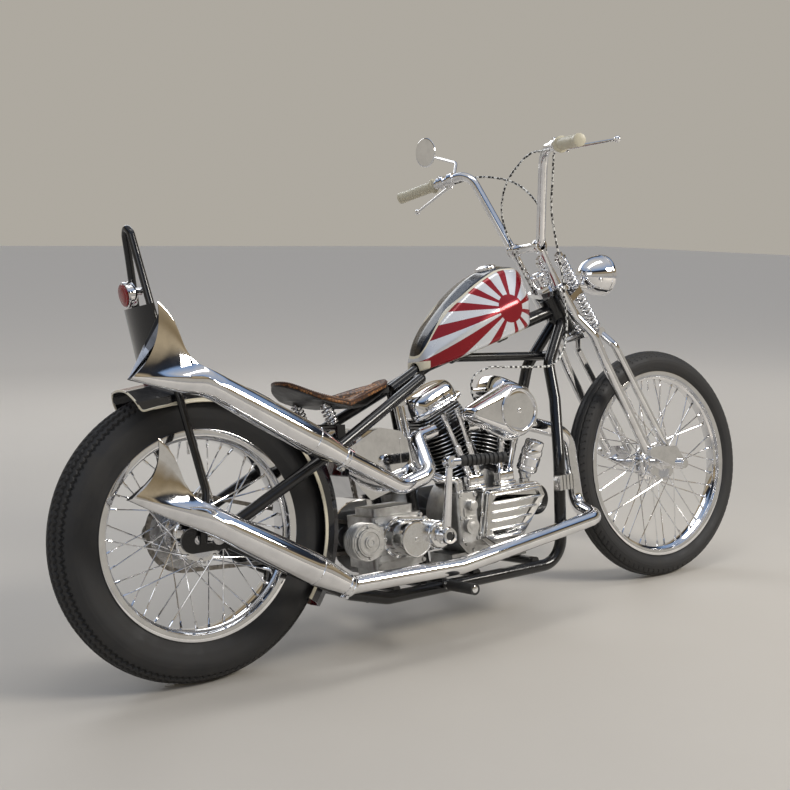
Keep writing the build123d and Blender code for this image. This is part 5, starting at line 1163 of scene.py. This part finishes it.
def hand_controls():
    """Two-part lever clamps with their screws, a pivot fork and pin, and flattened levers with a ball at the end."""
    form = Form()
    seat_at = BAR_END + BAR_ALONG * 150
    for side, tip in ((1, np.array((1058.0, -398.0, 1222.0))), (-1, np.array((985.0, 392.0, 1172.0)))):
        way, seat = BAR_ALONG * (1, side, 1), seat_at * (1, side, 1)
        form.turned([(12.9, -11.8), (17, -11.8), (18.4, -10.6), (18.4, -3), (16.6, -2), (16.6, 2), (18.4, 3),
                     (18.4, 10.6), (17, 11.8), (12.9, 11.8)], seat, way, 40, loop=True)
        for up in (-1, 1):
            form.turned([(3.4, -9), (3.4, 9), (2.6, 9.6)], seat + (-4, 0, up * 16.6), FORWARD, 14)
        pivot = seat + (36.0, 0, -6.0)
        form.swept([seat + (16, 0, -2.4), seat + (24, 0, -4), pivot - (4, 0, -0.8), pivot + (4, 0, -0.6)],
                   [8.4, 7.6, 8.2, 6.4], 20)
        form.turned([(4.2, -10.6), (5.4, -9.6), (5.4, 9.6), (4.2, 10.6)], pivot, (0.1, 0, 1), 24)
        start = pivot + unit(tip - pivot) * 4
        blade = unit(tip - start)
        flat, tall = axes_for(blade)
        rows = []
        for share in np.linspace(0, 1, 9):
            wide, deep = 4.9 - 1.5 * share, 4.6 - 1.2 * share
            middle = start + (tip - start) * share
            rows.append([middle + flat * deep * math.cos(t) + tall * wide * math.sin(t)
                         for t in np.linspace(0, 2 * math.pi, 20, endpoint=False)])
        form.grid(rows)
        form.turned(ball(8.8, 13), tip, blade, 28)
    form.piece("lever_sets", "fork", CHROME, "chrome", ("hand_levers",), sharp=38)


def mirror():
    """A round mirror: a rolled chrome rim round its glass, a domed back, a ball neck and a bent stem on a clamp."""
    form = Form()
    along = BAR_ALONG * (1, -1, 1)
    foot = BAR_END * (1, -1, 1) + along * 185
    form.turned([(12.9, -8.8), (17.4, -8.8), (18.8, -7.6), (18.8, 7.6), (17.4, 8.8), (12.9, 8.8)], foot, along, 40,
                loop=True)
    at = np.array((1060.0, 425.0, 1366.0))
    path = bend([foot + (12, 0, 14), (1040, 250, 1296), at + (10, -6, -12)], 30)
    form.swept(path, 4.6, 16)
    form.turned([(6.6, 0), (6.6, 7), (5, 8.4)], foot + (10, 0, 12), path[1] - path[0], 6)
    facing = unit((1, 0.1, 0.05))
    form.turned([(40, -5.6), (43.6, -5.8), (45.4, -4.6), (45.8, -2.6), (44.6, -0.6), (42, 1.2), (34, 3.4), (22, 4.8),
                 (10, 5.6), (2, 5.7)], at, facing, 64)
    form.turned([(42.8, -5.0), (42.8, -4.7), (20, -4.9), (2, -5.0)][::-1], at, facing, 64, tag=1)
    form.turned(ball(7, 11), at + (8, -5, -10), facing, 24)
    form.piece("mirror_detail", "fork", CHROME, "chrome", ("rear_view_mirror",), sharp=40, extra=(MIRROR,))


def headlamp():
    """A bullet shell of smooth curve, a rolled rim, a deep reflector with its bulb, and the stalk with its nut."""
    form = Form()
    origin = (1268, 0, 922)
    outer = [(0.6, 0.3), (9, 1.4), (19, 4.6), (30, 12.6), (40.5, 24.4), (48, 36), (54, 50), (57.6, 64), (59.2, 76)]
    lip = [(60.4, 79), (60.9, 82), (60.9, 89), (60.2, 91.2), (58, 91.9), (55.6, 91.2), (55.0, 89)]
    bowl = [(52, 82), (45, 66), (34, 52), (20, 43), (8, 39.6), (4, 39.4)]
    bulb = [(4, 44), (6.8, 50), (7.4, 56), (5.6, 62), (1, 64)]
    form.turned(outer + lip + bowl + bulb, origin, FORWARD, 80)
    form.turned([(61, 79.0), (61, 78.2), (59.4, 77.6)], origin, FORWARD, 80)
    path = bend([fork_point(613, 88.5, 0), fork_point(613, 112, 0), (1292, 0, 888)], 13.8)
    form.swept(path, 7.7, 24)
    form.turned([(12.6, 0), (12.6, 7), (10.6, 8.4)], fork_point(613, 89.4, 0), AHEAD, 6)
    form.turned([(4.8, 0), (6, 0.6), (6, 2.4), (4.6, 3.4), (2.2, 3.4), (1.8, 1.8)], (1306, -48.4, 904), RIGHT, 20)
    form.piece("headlamp_shell", "fork", CHROME, "chrome", ("headlight",), sharp=40)


def headlamp_glass():
    """The lens: a shallow dome of even thickness with a turned edge."""
    form = Form()
    origin = (1360.4, 0, 922)
    profile = [(53.6, 0), (53.8, 1.6), (50, 4), (42, 5.6), (30, 6.8), (16, 7.4), (2, 7.6), (2, 4.4), (16, 4.2),
               (30, 3.6), (42, 2.4), (50, 0.4)]
    form.turned(profile, origin, FORWARD, 80, loop=True)
    form.piece("headlamp_glass", "fork", LENS, "lamp_glass", ("headlight_lens",), sharp=40)


def tail_lamp():
    """A turned chrome housing with two beads, its wire's tube and a rim held by three screws, round a stepped lens."""
    form = Form()
    front, axis = np.array((-99.0, 0, 901.0)), unit((-23, 0, -4))
    form.turned([(14, 0.2), (22, 0.4), (26.4, 2.4), (28.0, 6), (28.0, 10), (29.6, 11), (29.6, 13), (28.2, 14),
                 (28.2, 17), (29.8, 18), (29.9, 21), (29.2, 23), (27, 23.4), (25.9, 22.4), (25.9, 19), (8, 19)],
                front, axis, 64)
    form.turned([(7.6, 0), (8.8, 1), (8.8, 24)], (-105, 0, 905), FORWARD, 24)
    for index in range(3):
        t = math.radians(90 + 120 * index)
        first, second = axes_for(axis)
        form.turned([(1.9, 0), (1.9, 0.8), (1, 1.1)],
                    front + axis * 23.0 + (first * math.cos(t) + second * math.sin(t)) * 27.6, axis, 12)
    form.piece("tail_lamp_body", "chassis", CHROME, "chrome", ("tail_light",), sharp=38)
    lens = Form()
    lens.turned([(25.6, 23.8), (25.8, 24.6), (25.0, 26.4), (22, 27.6), (19, 27.2), (18.4, 27.8), (14, 28.8), (8, 29.2),
                 (1, 29.3)], front, axis, 64)
    lens.piece("tail_lamp_lens", "chassis", RED_LENS, "red_lens", ("tail_lens",), sharp=40)


def damper():
    """The stem nut, the damper's spring washers and a fluted knob under a round cap, all on the steering head."""
    form = Form()
    base = fork_point(0, 0, 0)
    form.turned([(13.4, 660.6), (20.6, 660.6), (20.8, 662), (20.8, 670), (19, 673.4), (10, 673.6)], base, UP, 6)
    form.turned([(9.6, 672), (9.6, 682), (12.5, 683), (12.5, 685), (9.6, 686), (9.6, 689), (12.5, 690), (12.5, 692),
                 (9.6, 693), (9.6, 701)], base, UP, 36)
    form.fluted([(radius, high, 1.5 if radius > 20 else 0.0) for radius, high in (
        (10, 699.2), (20.4, 699.4), (23.4, 701), (23.9, 704), (23.9, 708), (22.6, 711), (14, 711.9), (12.8, 712.4),
        (12.6, 716.6), (10, 717.8), (2, 717.9))], base, UP, 120, 12, lambda wave: np.clip(wave, 0, 1))
    form.piece("damper_stack", "fork", CHROME, "chrome", ("steering_damper",), sharp=40)


def risers():
    """Dog-bone risers, waisted between their feet and caps, each cap split and bolted, with the bar's cross piece."""
    form = Form()
    for side in (-1, 1):
        low, high = fork_point(661, 10, 50 * side), fork_point(785, 10, 58 * side)
        axis = unit(high - low)
        form.turned([(14.6, 0), (14.9, 1), (14.9, 6.6), (13.2, 8), (12, 16), (10.4, 34), (9.2, 60), (9.0, 84),
                     (9.8, 108), (10.6, 120)], low, axis, 36)
        clamp = np.array((1073.0, 60.0 * side, 1002.0))
        form.turned([(12.9, -17.6), (18.6, -17.6), (19.7, -16.2), (19.7, -1.2), (18.8, 0), (19.7, 1.2), (19.7, 4.6),
                     (18.6, 5.8), (12.9, 5.8)], clamp, (0, side, 0), 44, loop=True)
        for back in (-1, 1):
            form.turned([(3.6, 0), (3.6, 3), (2.6, 3.6)], clamp + (14.4 * back, -6.0 * side, 9.6), ABOVE, 6)
    form.turned([(12, -43.6), (16.2, -43.6), (16.8, -42), (13.8, -36), (13.2, 0), (13.8, 36), (16.8, 42), (16.2, 43.6),
                 (12, 43.6)], (1073, 0, 1002), LEFT, 44)
    form.piece("dog_bone_risers", "fork", CHROME, "chrome", ("risers",), sharp=40)


# Exhausts

SLOPE = math.radians(31)
REARWARD = np.array((-math.cos(SLOPE), 0, math.sin(SLOPE)))
UPWARD = np.array((math.sin(SLOPE), 0, math.cos(SLOPE)))
UPPER_MUFFLER, LOWER_MUFFLER = (318, -172, 486), (286, -196, 194)


def pipe_fittings():
    """A banded clamp with its lugs and bolt where each pipe meets its muffler, and a welded seam behind it."""
    form = Form()
    for front in (UPPER_MUFFLER, LOWER_MUFFLER):
        form.turned([(25.0, -7.4), (25.8, -6.6), (25.8, -1), (24.6, 0), (24.6, 2), (25.8, 3), (25.8, 8.6), (25, 9.6)],
                    front, REARWARD, 56)
        lug = front - UPWARD * 24 + REARWARD
        for across in (5.5, -1.5):
            form.slab(rounded(13, 9, 2), lug + (0, across, 0) - UPWARD * 4.4, REARWARD, UPWARD, 4, 0.6)
        form.turned([(2.6, -9), (2.6, 7)], lug - UPWARD * 4.4, LEFT, 14)
        form.turned([(4.8, 0), (4.8, 4)], lug - UPWARD * 4.4 + (0, -11.2, 0), LEFT, 6)
        seam = front + REARWARD * 95
        form.turned([(35.2, -1.4), (35.9, -0.6), (35.9, 0.8), (35.2, 1.6)], seam, REARWARD, 64)
    form.piece("exhaust_clamps", "chassis", CHROME, "chrome", (), sharp=38)


# Frame's small parts

def frame_fittings():
    """The head's two rolled rings and its grease nipple."""
    form = Form()
    form.turned([(2.2, 0), (3.2, 1), (3.2, 4), (2, 5)], fork_point(580, -28.6, 0), -AHEAD, 12)
    for along in (524.0, 636.0):
        form.turned([(28.8, -4), (30.6, -3), (30.6, 3), (28.8, 4)], fork_point(along, 0, 0), UP, 56)
    form.piece("head_rings", "chassis", GLOSS, "black_steel", (), sharp=38)


grips()
hand_controls()
mirror()
headlamp()
headlamp_glass()
tail_lamp()
damper()
risers()
pipe_fittings()
frame_fittings()


# Mufflers

def smooth(value):
    """s = 3v^2 - 2v^3 with v held between 0 and 1."""
    value = np.clip(value, 0, 1)
    return value * value * (3 - 2 * value)


def fishtail(form, neck, top, low, hollow):
    """u(s, p) between the top and bottom edges: a crease runs from the body's top to the lower tip, the fan above
    it is hollow, h = t*(1 - p)^1.5, and the strip below it is round, h = t*sqrt(1 - p^2); the end is open."""
    steps = 72
    angle = np.linspace(0, 2 * math.pi, steps, endpoint=False)
    p = np.sin(angle)
    facing = np.sign(np.cos(angle))
    crease_end = low[-1][1] + 9.0
    end_up = np.where(p > 0, crease_end + (top[-1][1] - crease_end) * p, crease_end + 9.0 * p)
    rise = (end_up - low[-1][1]) / (top[-1][1] - low[-1][1])
    back_end = low[-1][0] + (top[-1][0] - low[-1][0]) * rise - 4 * hollow * rise * (1 - rise)

    def section(share, wall):
        back = share * back_end
        high = np.interp(share * top[-1][0], *zip(*top)) - wall
        deep = np.interp(share * low[-1][0], *zip(*low)) + wall
        crease = np.interp(share, (0.0, 0.2, 1.0), (12.0, 14.0, crease_end))
        thick = 30.0 - 18.0 * smooth(share * 1.15) - wall
        up = np.where(p > 0, crease + (high - crease) * p, crease + (crease - deep) * p)
        fan = thick * np.clip(1 - p, 0, 1) ** 1.5
        strip = thick * np.sqrt(np.clip(1 - p ** 2, 0, 1))
        rounding = 2.2 * np.sqrt(np.clip(1 - p ** 2, 0, 1))
        across = facing * np.where(p > 0, np.maximum(fan, rounding), strip)
        blend = smooth(share / 0.45)
        across = across * blend + (31 - wall) * np.cos(angle) * (1 - blend)
        up = up * blend + (31 - wall) * p * (1 - blend)
        return neck + back[:, None] * REARWARD + up[:, None] * UPWARD + across[:, None] * np.array((0, 1.0, 0))

    outer = [section(share, 0.0) for share in np.linspace(0, 1, 34)]
    inner = [section(share, 1.4) for share in (0.998, 0.9, 0.8, 0.7)]
    form.grid(outer)
    form.grid(inner[::-1] + [section(1.0, 0.3)], False, 1)


def exhaust(name, node, pipe, bends, front, body, top, low, hollow):
    """The bent pipe, the tapered muffler turned about its axis, and the fishtail on its end."""
    form = Form()
    front = np.array(front, float)
    form.swept(bend([*pipe, front, front + REARWARD * 14], bends, 12), 20.9, 40)
    profile = [(21.0, -7.6), (22.6, 4), (24.6, 20), (28.4, 48), (32.4, 76), (34.6, 96), (35.3, 112), (35.3, 150),
               (34.6, 220), (33.0, 290), (31.2, body - 6), (31.0, body)]
    form.turned(profile, front, REARWARD, 72)
    fishtail(form, front + REARWARD * (body - 0.4), top, low, hollow)
    form.piece(name, "chassis", CHROME, "chrome", (node,), sharp=50, extra=(SATIN,))


# Seat

SEAT_LINE = ((240, 670), (262, 654), (296, 632), (340, 616), (400, 602), (450, 606), (505, 626), (560, 652))
SEAT_BACK, SEAT_FRONT, STITCHES = 348, 520, 120


def seat_height(x):
    """The pan's side line, its corners eased by averaging over 36 mm of length."""
    reach = np.linspace(-18, 18, 13)
    x_at, z_at = zip(*SEAT_LINE)
    return np.mean([np.interp(np.clip(x + step, x_at[0], x_at[-1]), x_at, z_at) for step in reach], axis=0)


def seat_ring(inset, lift):
    """A ring of the seat's outline drawn in toward its middle line by this share, lifted over the pan."""
    ring = hull_of(((SEAT_BACK, 0, 105.6), (SEAT_FRONT, 0, 35.6)), STITCHES)
    spine = np.stack([np.clip(ring[:, 0], SEAT_BACK, SEAT_FRONT), np.zeros(len(ring))], axis=-1)
    spot = spine + (ring - spine) * (1 - inset)
    return np.stack([spot[:, 0], spot[:, 1], seat_height(spot[:, 0]) + lift], axis=-1)


def seat_pad():
    """A thin padded leather top that swells toward its edge and turns down over it; a welt and stitches go round it."""
    form = Form()
    under = [seat_ring(inset, 0.6) for inset in (0.985, 0.7, 0.4, 0.15, 0.03)]
    side = [seat_ring(0.006, 0.9), seat_ring(-0.004, 2.4), seat_ring(-0.012, 5.4), seat_ring(-0.01, 8.6),
            seat_ring(0.004, 11.2), seat_ring(0.022, 13.2), seat_ring(0.05, 14.6)]
    top = [seat_ring(inset, 14.9 - 5.4 * smooth((inset - 0.07) / 0.5)) for inset in np.linspace(0.08, 0.985, 22)]
    form.grid(under + side + top)
    pad = form.piece("seat_pad_leather", "chassis", LEATHER, "seat_leather", ("seat",), sharp=60)
    rim = Form()
    rim.swept(seat_ring(0.002, 10.6), 2.3, 10, True)
    seam = seat_ring(0.072, 15.1)
    for here, there in zip(seam, np.roll(seam, -1, axis=0)):
        rim.swept([here + (there - here) * 0.14 - (0, 0, 0.6), here + (there - here) * 0.3 + (0, 0, 0.35),
                   here + (there - here) * 0.7 + (0, 0, 0.35), here + (there - here) * 0.86 - (0, 0, 0.6)], 0.85, 6)
    rim.piece("seat_welt", "chassis", WELT, "seat_leather", (), sharp=60)


# Mudguard's edge

BEAD_R, BEAD_Y, TAIL_ANGLE = 305.4, -74.8, 114.3


def fender_bead():
    """A rolled ivory bead along both flared sides and over the tail's lip, its corners eased by averaging."""
    def spot(angle, radius, y):
        rise = 15.0 * min(max((angle - 98) / 16.5, 0), 1)
        turn = math.radians(angle)
        return (radius + rise) * math.cos(turn), y, REAR_Z + (radius + rise) * math.sin(turn)

    side = [spot(angle, BEAD_R, BEAD_Y) for angle in np.linspace(58, TAIL_ANGLE, 46)]
    lip = [(BEAD_R, BEAD_Y), (329, -75), (356, -46.5), (362, -1)]
    over = []
    for (r1, y1), (r2, y2) in zip(lip, lip[1:]):
        many = int(math.hypot(r2 - r1, y2 - y1) / 6)
        over += [spot(TAIL_ANGLE, r1 + (r2 - r1) * t, y1 + (y2 - y1) * t)
                 for t in np.linspace(0, 1, many, endpoint=False)]
    half = side + over
    path = np.array(half + [(x, -y, z) for x, y, z in half[::-1]])
    for _ in range(4):
        path[1:-1] = (path[:-2] + path[1:-1] * 2 + path[2:]) / 4
    form = Form()
    form.swept(path, 2.6, 12)
    form.piece("fender_bead", "chassis", BEAD, "fender_paint", (), sharp=60)


exhaust("upper_exhaust_pipe", "upper_exhaust", ((650, -62, 520), (590, -74, 508), (572, -146, 420), (480, -154, 398)),
        (26, 40, 60, 40), UPPER_MUFFLER, 350.0,
        ((0, 31), (40, 28.5), (72, 27), (98, 33), (120, 46), (142, 66), (164, 84), (190, 97), (216, 104)),
        ((0, -31), (60, -43), (120, -57), (201, -77)), 26)
exhaust("lower_exhaust_pipe", "lower_exhaust",
        ((985, -40, 512), (1128, -44, 470), (1136, -54, 262), (1112, -158, 240), (613, -190, 187)),
        (60, 50, 40, 60, 50), LOWER_MUFFLER, 340.0,
        ((0, 31), (46, 28.5), (84, 27), (112, 34), (136, 48), (158, 68), (180, 86), (204, 99), (229, 106)),
        ((0, -31), (70, -34), (150, -37), (234, -39)), 26)
seat_pad()
fender_bead()


# Smaller castings and fittings

STARTER_X, STARTER_Z = 381, 276


def castings():
    """Ribs, bosses, plugs and screws on the crankcase, gear case, pump, gearbox and starter housing."""
    form = Form()
    for x, z in ((702, 270), (710, 322)):
        form.turned([(13, -133.4), (13, -136.2), (9, -137.4), (3, -137.6)], (x, 0, z), LEFT, 6)
    for x, z in ((678, 236), (726, 236), (678, 348), (726, 348), (678, 292)):
        form.turned([(5.4, 0), (5.4, 3.2), (4.4, 4.2), (2.2, 4.2), (2, 3)], (x, -120.6, z), RIGHT, 16)
    form.slab(rounded(50, 7, 3), (702, -120.4, 292), FORWARD, ABOVE, 3.4, 1)
    form.slab(rounded(7, 44, 3), (690, -120.4, 296), FORWARD, ABOVE, 3.4, 1)
    for index in range(9):
        turn = math.radians(205 + 16 * index)
        for side in (-1, 1):
            foot = ENGINE + np.array((106 * math.cos(turn), side * 57.5, 106 * math.sin(turn)))
            form.turned([(6, 0), (6, 3), (4.8, 4)], foot, (0, side, 0), 6)
    for side in (-1, 1):
        for turn in (math.radians(150), math.radians(170), math.radians(10), math.radians(-12)):
            way = np.array((math.cos(turn), 0, math.sin(turn)))
            form.swept([ENGINE + way * 60 + (0, side * 56, 0), ENGINE + way * 116 + (0, side * 56, 0)], [3.6, 2.8], 10)
    form.turned([(9, 0), (9, 4), (7.4, 6), (3, 6.2)], (815, 0, 161.5), BELOW, 6)
    for z in (208, 226, 292, 308):
        form.slab(rounded(126, 4.4, 2), (508, -85.2, z), FORWARD, ABOVE, 2.6, 0.8)
    for x, z in ((441, 201), (575, 201), (441, 315), (575, 315)):
        form.turned([(5.8, 0), (5.8, 3.2), (4.8, 4.2)], (x, -84.8, z), RIGHT, 6)
    for radius, y, tall in ((42.0, -142.2, 1.8), (31, -150.2, 1.6), (12, -155.2, 1.8)):
        form.turned([(radius, 0), (radius - 0.8, tall), (radius - 6, tall + 0.2), (radius - 7, 0.4)],
                    (STARTER_X, y, STARTER_Z), RIGHT, 56)
    for index in range(6):
        turn = math.radians(30 + 60 * index)
        form.turned([(4.2, 0), (4.2, 2.4), (3.4, 3.2)],
                    (STARTER_X + 38 * math.cos(turn), -144, STARTER_Z + 38 * math.sin(turn)), RIGHT, 6)
    for index in range(5):
        form.turned([(45.0, 0), (46.2, 0.8), (46.2, 2.6), (45.0, 3.4)], (STARTER_X, -104 - 8 * index, STARTER_Z),
                    RIGHT, 64)
    form.piece("casting_details", "chassis", CAST, "engine_alloy", (), sharp=36)


def tank_fittings():
    """The oil tank's filler cap and strap seams, and the battery's six cell caps and its clamp bar with two nuts."""
    form = Form()
    form.turned([(19, 0), (19, 6), (21.6, 7), (22, 8.6), (22, 13), (20.4, 15), (12, 16), (3, 16.4)], (404, -78, 519),
                (-0.42, 0, 0.9), 40)
    for x in (392.0, 520.0):
        form.slab(rounded(7, 104, 3), (x, -105.4, 462), FORWARD, ABOVE, 1.6, 0.5)
    for index in range(6):
        form.turned([(5.2, 0), (5.2, 3), (3.6, 4)], (451 + 13.2 * index, 18, 526.4), ABOVE, 20, tag=1)
    form.slab(rounded(76, 12, 2), (484, -16, 527.2), FORWARD, LEFT, 4, 0.6)
    for x in (450, 518):
        form.turned([(5, 0), (5, 4), (3.8, 5)], (x, -16, 531), ABOVE, 6)
    form.piece("oil_tank_fittings", "chassis", CHROME, "chrome", (), sharp=36, extra=(CASE,))


def filler_cap():
    """A domed cap with a knurled skirt over a rolled neck, tilted with the tank's top."""
    form = Form()
    tilt = math.radians(12)
    axis = np.array((-math.sin(tilt), 0, math.cos(tilt)))
    form.fluted([(27, 0.2, 0), (30.2, 0.4, 0), (30.6, 1.4, 0.7), (30.6, 8.0, 0.7), (29.8, 9.4, 0), (27, 10.4, 0),
                 (21, 11.6, 0), (20.6, 12.4, 0), (17, 13.8, 0), (10, 14.6, 0), (2, 14.9, 0)],
                np.array((917.0, 0, 941.0)), axis, 192, 48, lambda wave: wave > 0)
    form.piece("filler_cap_dome", "chassis", CHROME, "chrome", ("filler_cap",), sharp=40)


PEG = (606, 0, 136)


def pegs():
    """Ribbed rubbers on the foot pegs, each between a chrome collar and a chrome end washer."""
    form = Form()
    for side in (-1, 1):
        profile = [(13.2, 150), *ribs(9, 152, 10.6, ((13.9, 0), (13.9, 6.6), (11.6, 7.4), (11.6, 9.8))),
                   (13.9, 247), (13.0, 249.2), (3, 249.6)]
        form.turned([(12.0, 136), (12.6, 140), (12.6, 149.6)], PEG, (0, side, 0), 28, tag=1)
        form.turned(profile, PEG, (0, side, 0), 36)
        form.turned([(8.4, 248.8), (8.4, 250.0), (6, 251)], PEG, (0, side, 0), 24, tag=1)
    form.piece("peg_rubbers", "chassis", BLACK_RUBBER, "peg_rubber", (), sharp=36, extra=(CHROME,))


def stand_spring():
    """The stand's return spring along its leg, hooked on a pin at each end; it turns with the leg."""
    pivot, foot = np.array((830.0, 146.0, 126.0)), np.array((850.0, 268.0, 54.0))
    along = unit(foot - pivot)
    side = unit(np.cross(along, FORWARD))
    form = Form()
    start, end = pivot + along * 22 + side * 12, pivot + along * 82 + side * 12
    coil(start, end, 3.6, 0.9, 15, form, samples=12, wire_steps=6)
    for spot in (start, end):
        form.turned([(2.4, -10), (2.4, 3.6), (3.4, 3.8), (3.4, 5)], spot, side, 12)
    form.piece("stand_spring", "side_stand", ZINC, "black_steel", (), sharp=40)


castings()
tank_fittings()
filler_cap()
pegs()
stand_spring()


# Stage, light and camera

FLOOR_HALF = 30.0


def stage():
    """A floor of two close warm tones in soft clouds, turning plain and pale away from the bike."""
    mesh = bpy.data.meshes.new("floor")
    mesh.from_pydata([(x * FLOOR_HALF, y * FLOOR_HALF, 0) for x, y in ((-1, -1), (1, -1), (1, 1), (-1, 1))], [],
                     [(0, 1, 2, 3)])
    floor = bpy.data.objects.new("floor", mesh)
    bpy.context.scene.collection.objects.link(floor)
    shader = Shader("floor_paint", Roughness=0.75)
    maths = Maths(shader)
    place = shader.add("ShaderNodeTexCoord").outputs["Object"]
    cloud = shader.add("ShaderNodeTexNoise", {"Vector": place, "Scale": 1.6, "Detail": 4.0})
    tone = maths.colour(cloud.outputs["Fac"], (0.56, 0.525, 0.47), (0.6, 0.565, 0.51))
    reach = shader.add("ShaderNodeVectorMath", {0: place}, operation="LENGTH")
    away = shader.add("ShaderNodeMapRange", {"Value": reach.outputs["Value"], "From Min": 1.6, "From Max": 5.5},
                      interpolation_type="SMOOTHSTEP")
    shader.feed(maths.colour(away.outputs["Result"], tone, (0.97, 0.9, 0.79)), "Base Color")
    mesh.materials.append(shader.material)


def light(name, place, aim, size, power, color):
    """A rectangular lamp at this place, turned to face its aim."""
    data = bpy.data.lights.new(name, "AREA")
    data.shape = "RECTANGLE"
    data.size, data.size_y = size
    data.energy = power
    data.color = color
    lamp = bpy.data.objects.new(name, data)
    lamp.location = place
    lamp.rotation_euler = (Vector(aim) - Vector(place)).to_track_quat("-Z", "Y").to_euler()
    bpy.context.scene.collection.objects.link(lamp)


def sky():
    """A studio's surround by height: a plain pale wall, then warm and dark bands, and a bright ceiling."""
    surround = bpy.data.worlds.new("studio")
    surround.use_nodes = True
    tree = surround.node_tree
    parts = put(tree, "ShaderNodeSeparateXYZ", {"Vector": put(tree, "ShaderNodeTexCoord").outputs["Generated"]})
    height = put(tree, "ShaderNodeMapRange", {"Value": parts.outputs["Z"], "From Min": -1.0, "From Max": 1.0})
    ramp = put(tree, "ShaderNodeValToRGB", {"Fac": height.outputs["Result"]})
    stops = ((0.0, (0.64, 0.6, 0.53)), (0.60, (0.64, 0.6, 0.53)), (0.625, (0.3, 0.22, 0.12)),
             (0.665, (0.62, 0.5, 0.33)), (0.70, (0.03, 0.03, 0.035)), (0.765, (0.03, 0.04, 0.06)),
             (0.80, (0.34, 0.5, 0.8)), (1.0, (1.0, 0.95, 0.88)))
    for _ in range(len(stops) - 2):
        ramp.color_ramp.elements.new(0.5)
    for element, (place_at, color) in zip(ramp.color_ramp.elements, stops):
        element.position = place_at
        element.color = (*color, 1)
    wall = tree.nodes["Background"].inputs
    tree.links.new(ramp.outputs["Color"], wall["Color"])
    wall["Strength"].default_value = 0.66
    bpy.context.scene.world = surround


# where the photograph was taken from, in the leaned bike's frame in metres, and the way its frame looks
CAMERA_AT = Vector((-1.0159, -2.2498, 1.0724))
CAMERA_RIGHT = Vector((0.82923638, -0.55857281, 0.01906434))
CAMERA_DOWN = Vector((-0.07369827, -0.14309514, -0.98696117))
CAMERA_AHEAD = Vector((0.55401769, 0.81701909, -0.15982555))


def camera():
    """The photograph's own view, set by its place and the three ways of its frame."""
    data = bpy.data.cameras.new("camera")
    data.lens = 50.6
    data.sensor_width = 36.0
    eye = bpy.data.objects.new("camera", data)
    turn = Matrix((CAMERA_RIGHT, -CAMERA_DOWN, -CAMERA_AHEAD)).transposed()
    eye.matrix_world = Matrix.Translation(CAMERA_AT + Vector(SHIFT)) @ turn.to_4x4()
    bpy.context.scene.collection.objects.link(eye)
    bpy.context.scene.camera = eye


stage()
sky()
light("key", (2.6, -3.6, 3.4), (0.0, 0.0, 0.5), (1.6, 1.2), 150, (1.0, 0.95, 0.87))
light("fill", (-3.4, -2.4, 2.2), (0.0, 0.0, 0.5), (2.4, 1.6), 16, (0.88, 0.93, 1.0))
light("back", (0.4, 3.2, 2.6), (0.0, 0.0, 0.5), (3.0, 1.2), 34, (0.95, 0.97, 1.0))
light("top", (0.0, -0.4, 4.2), (0.0, 0.0, 0.5), (3.2, 0.8), 26, (1.0, 1.0, 1.0))
camera()
bpy.context.scene.view_settings.view_transform = "Standard"
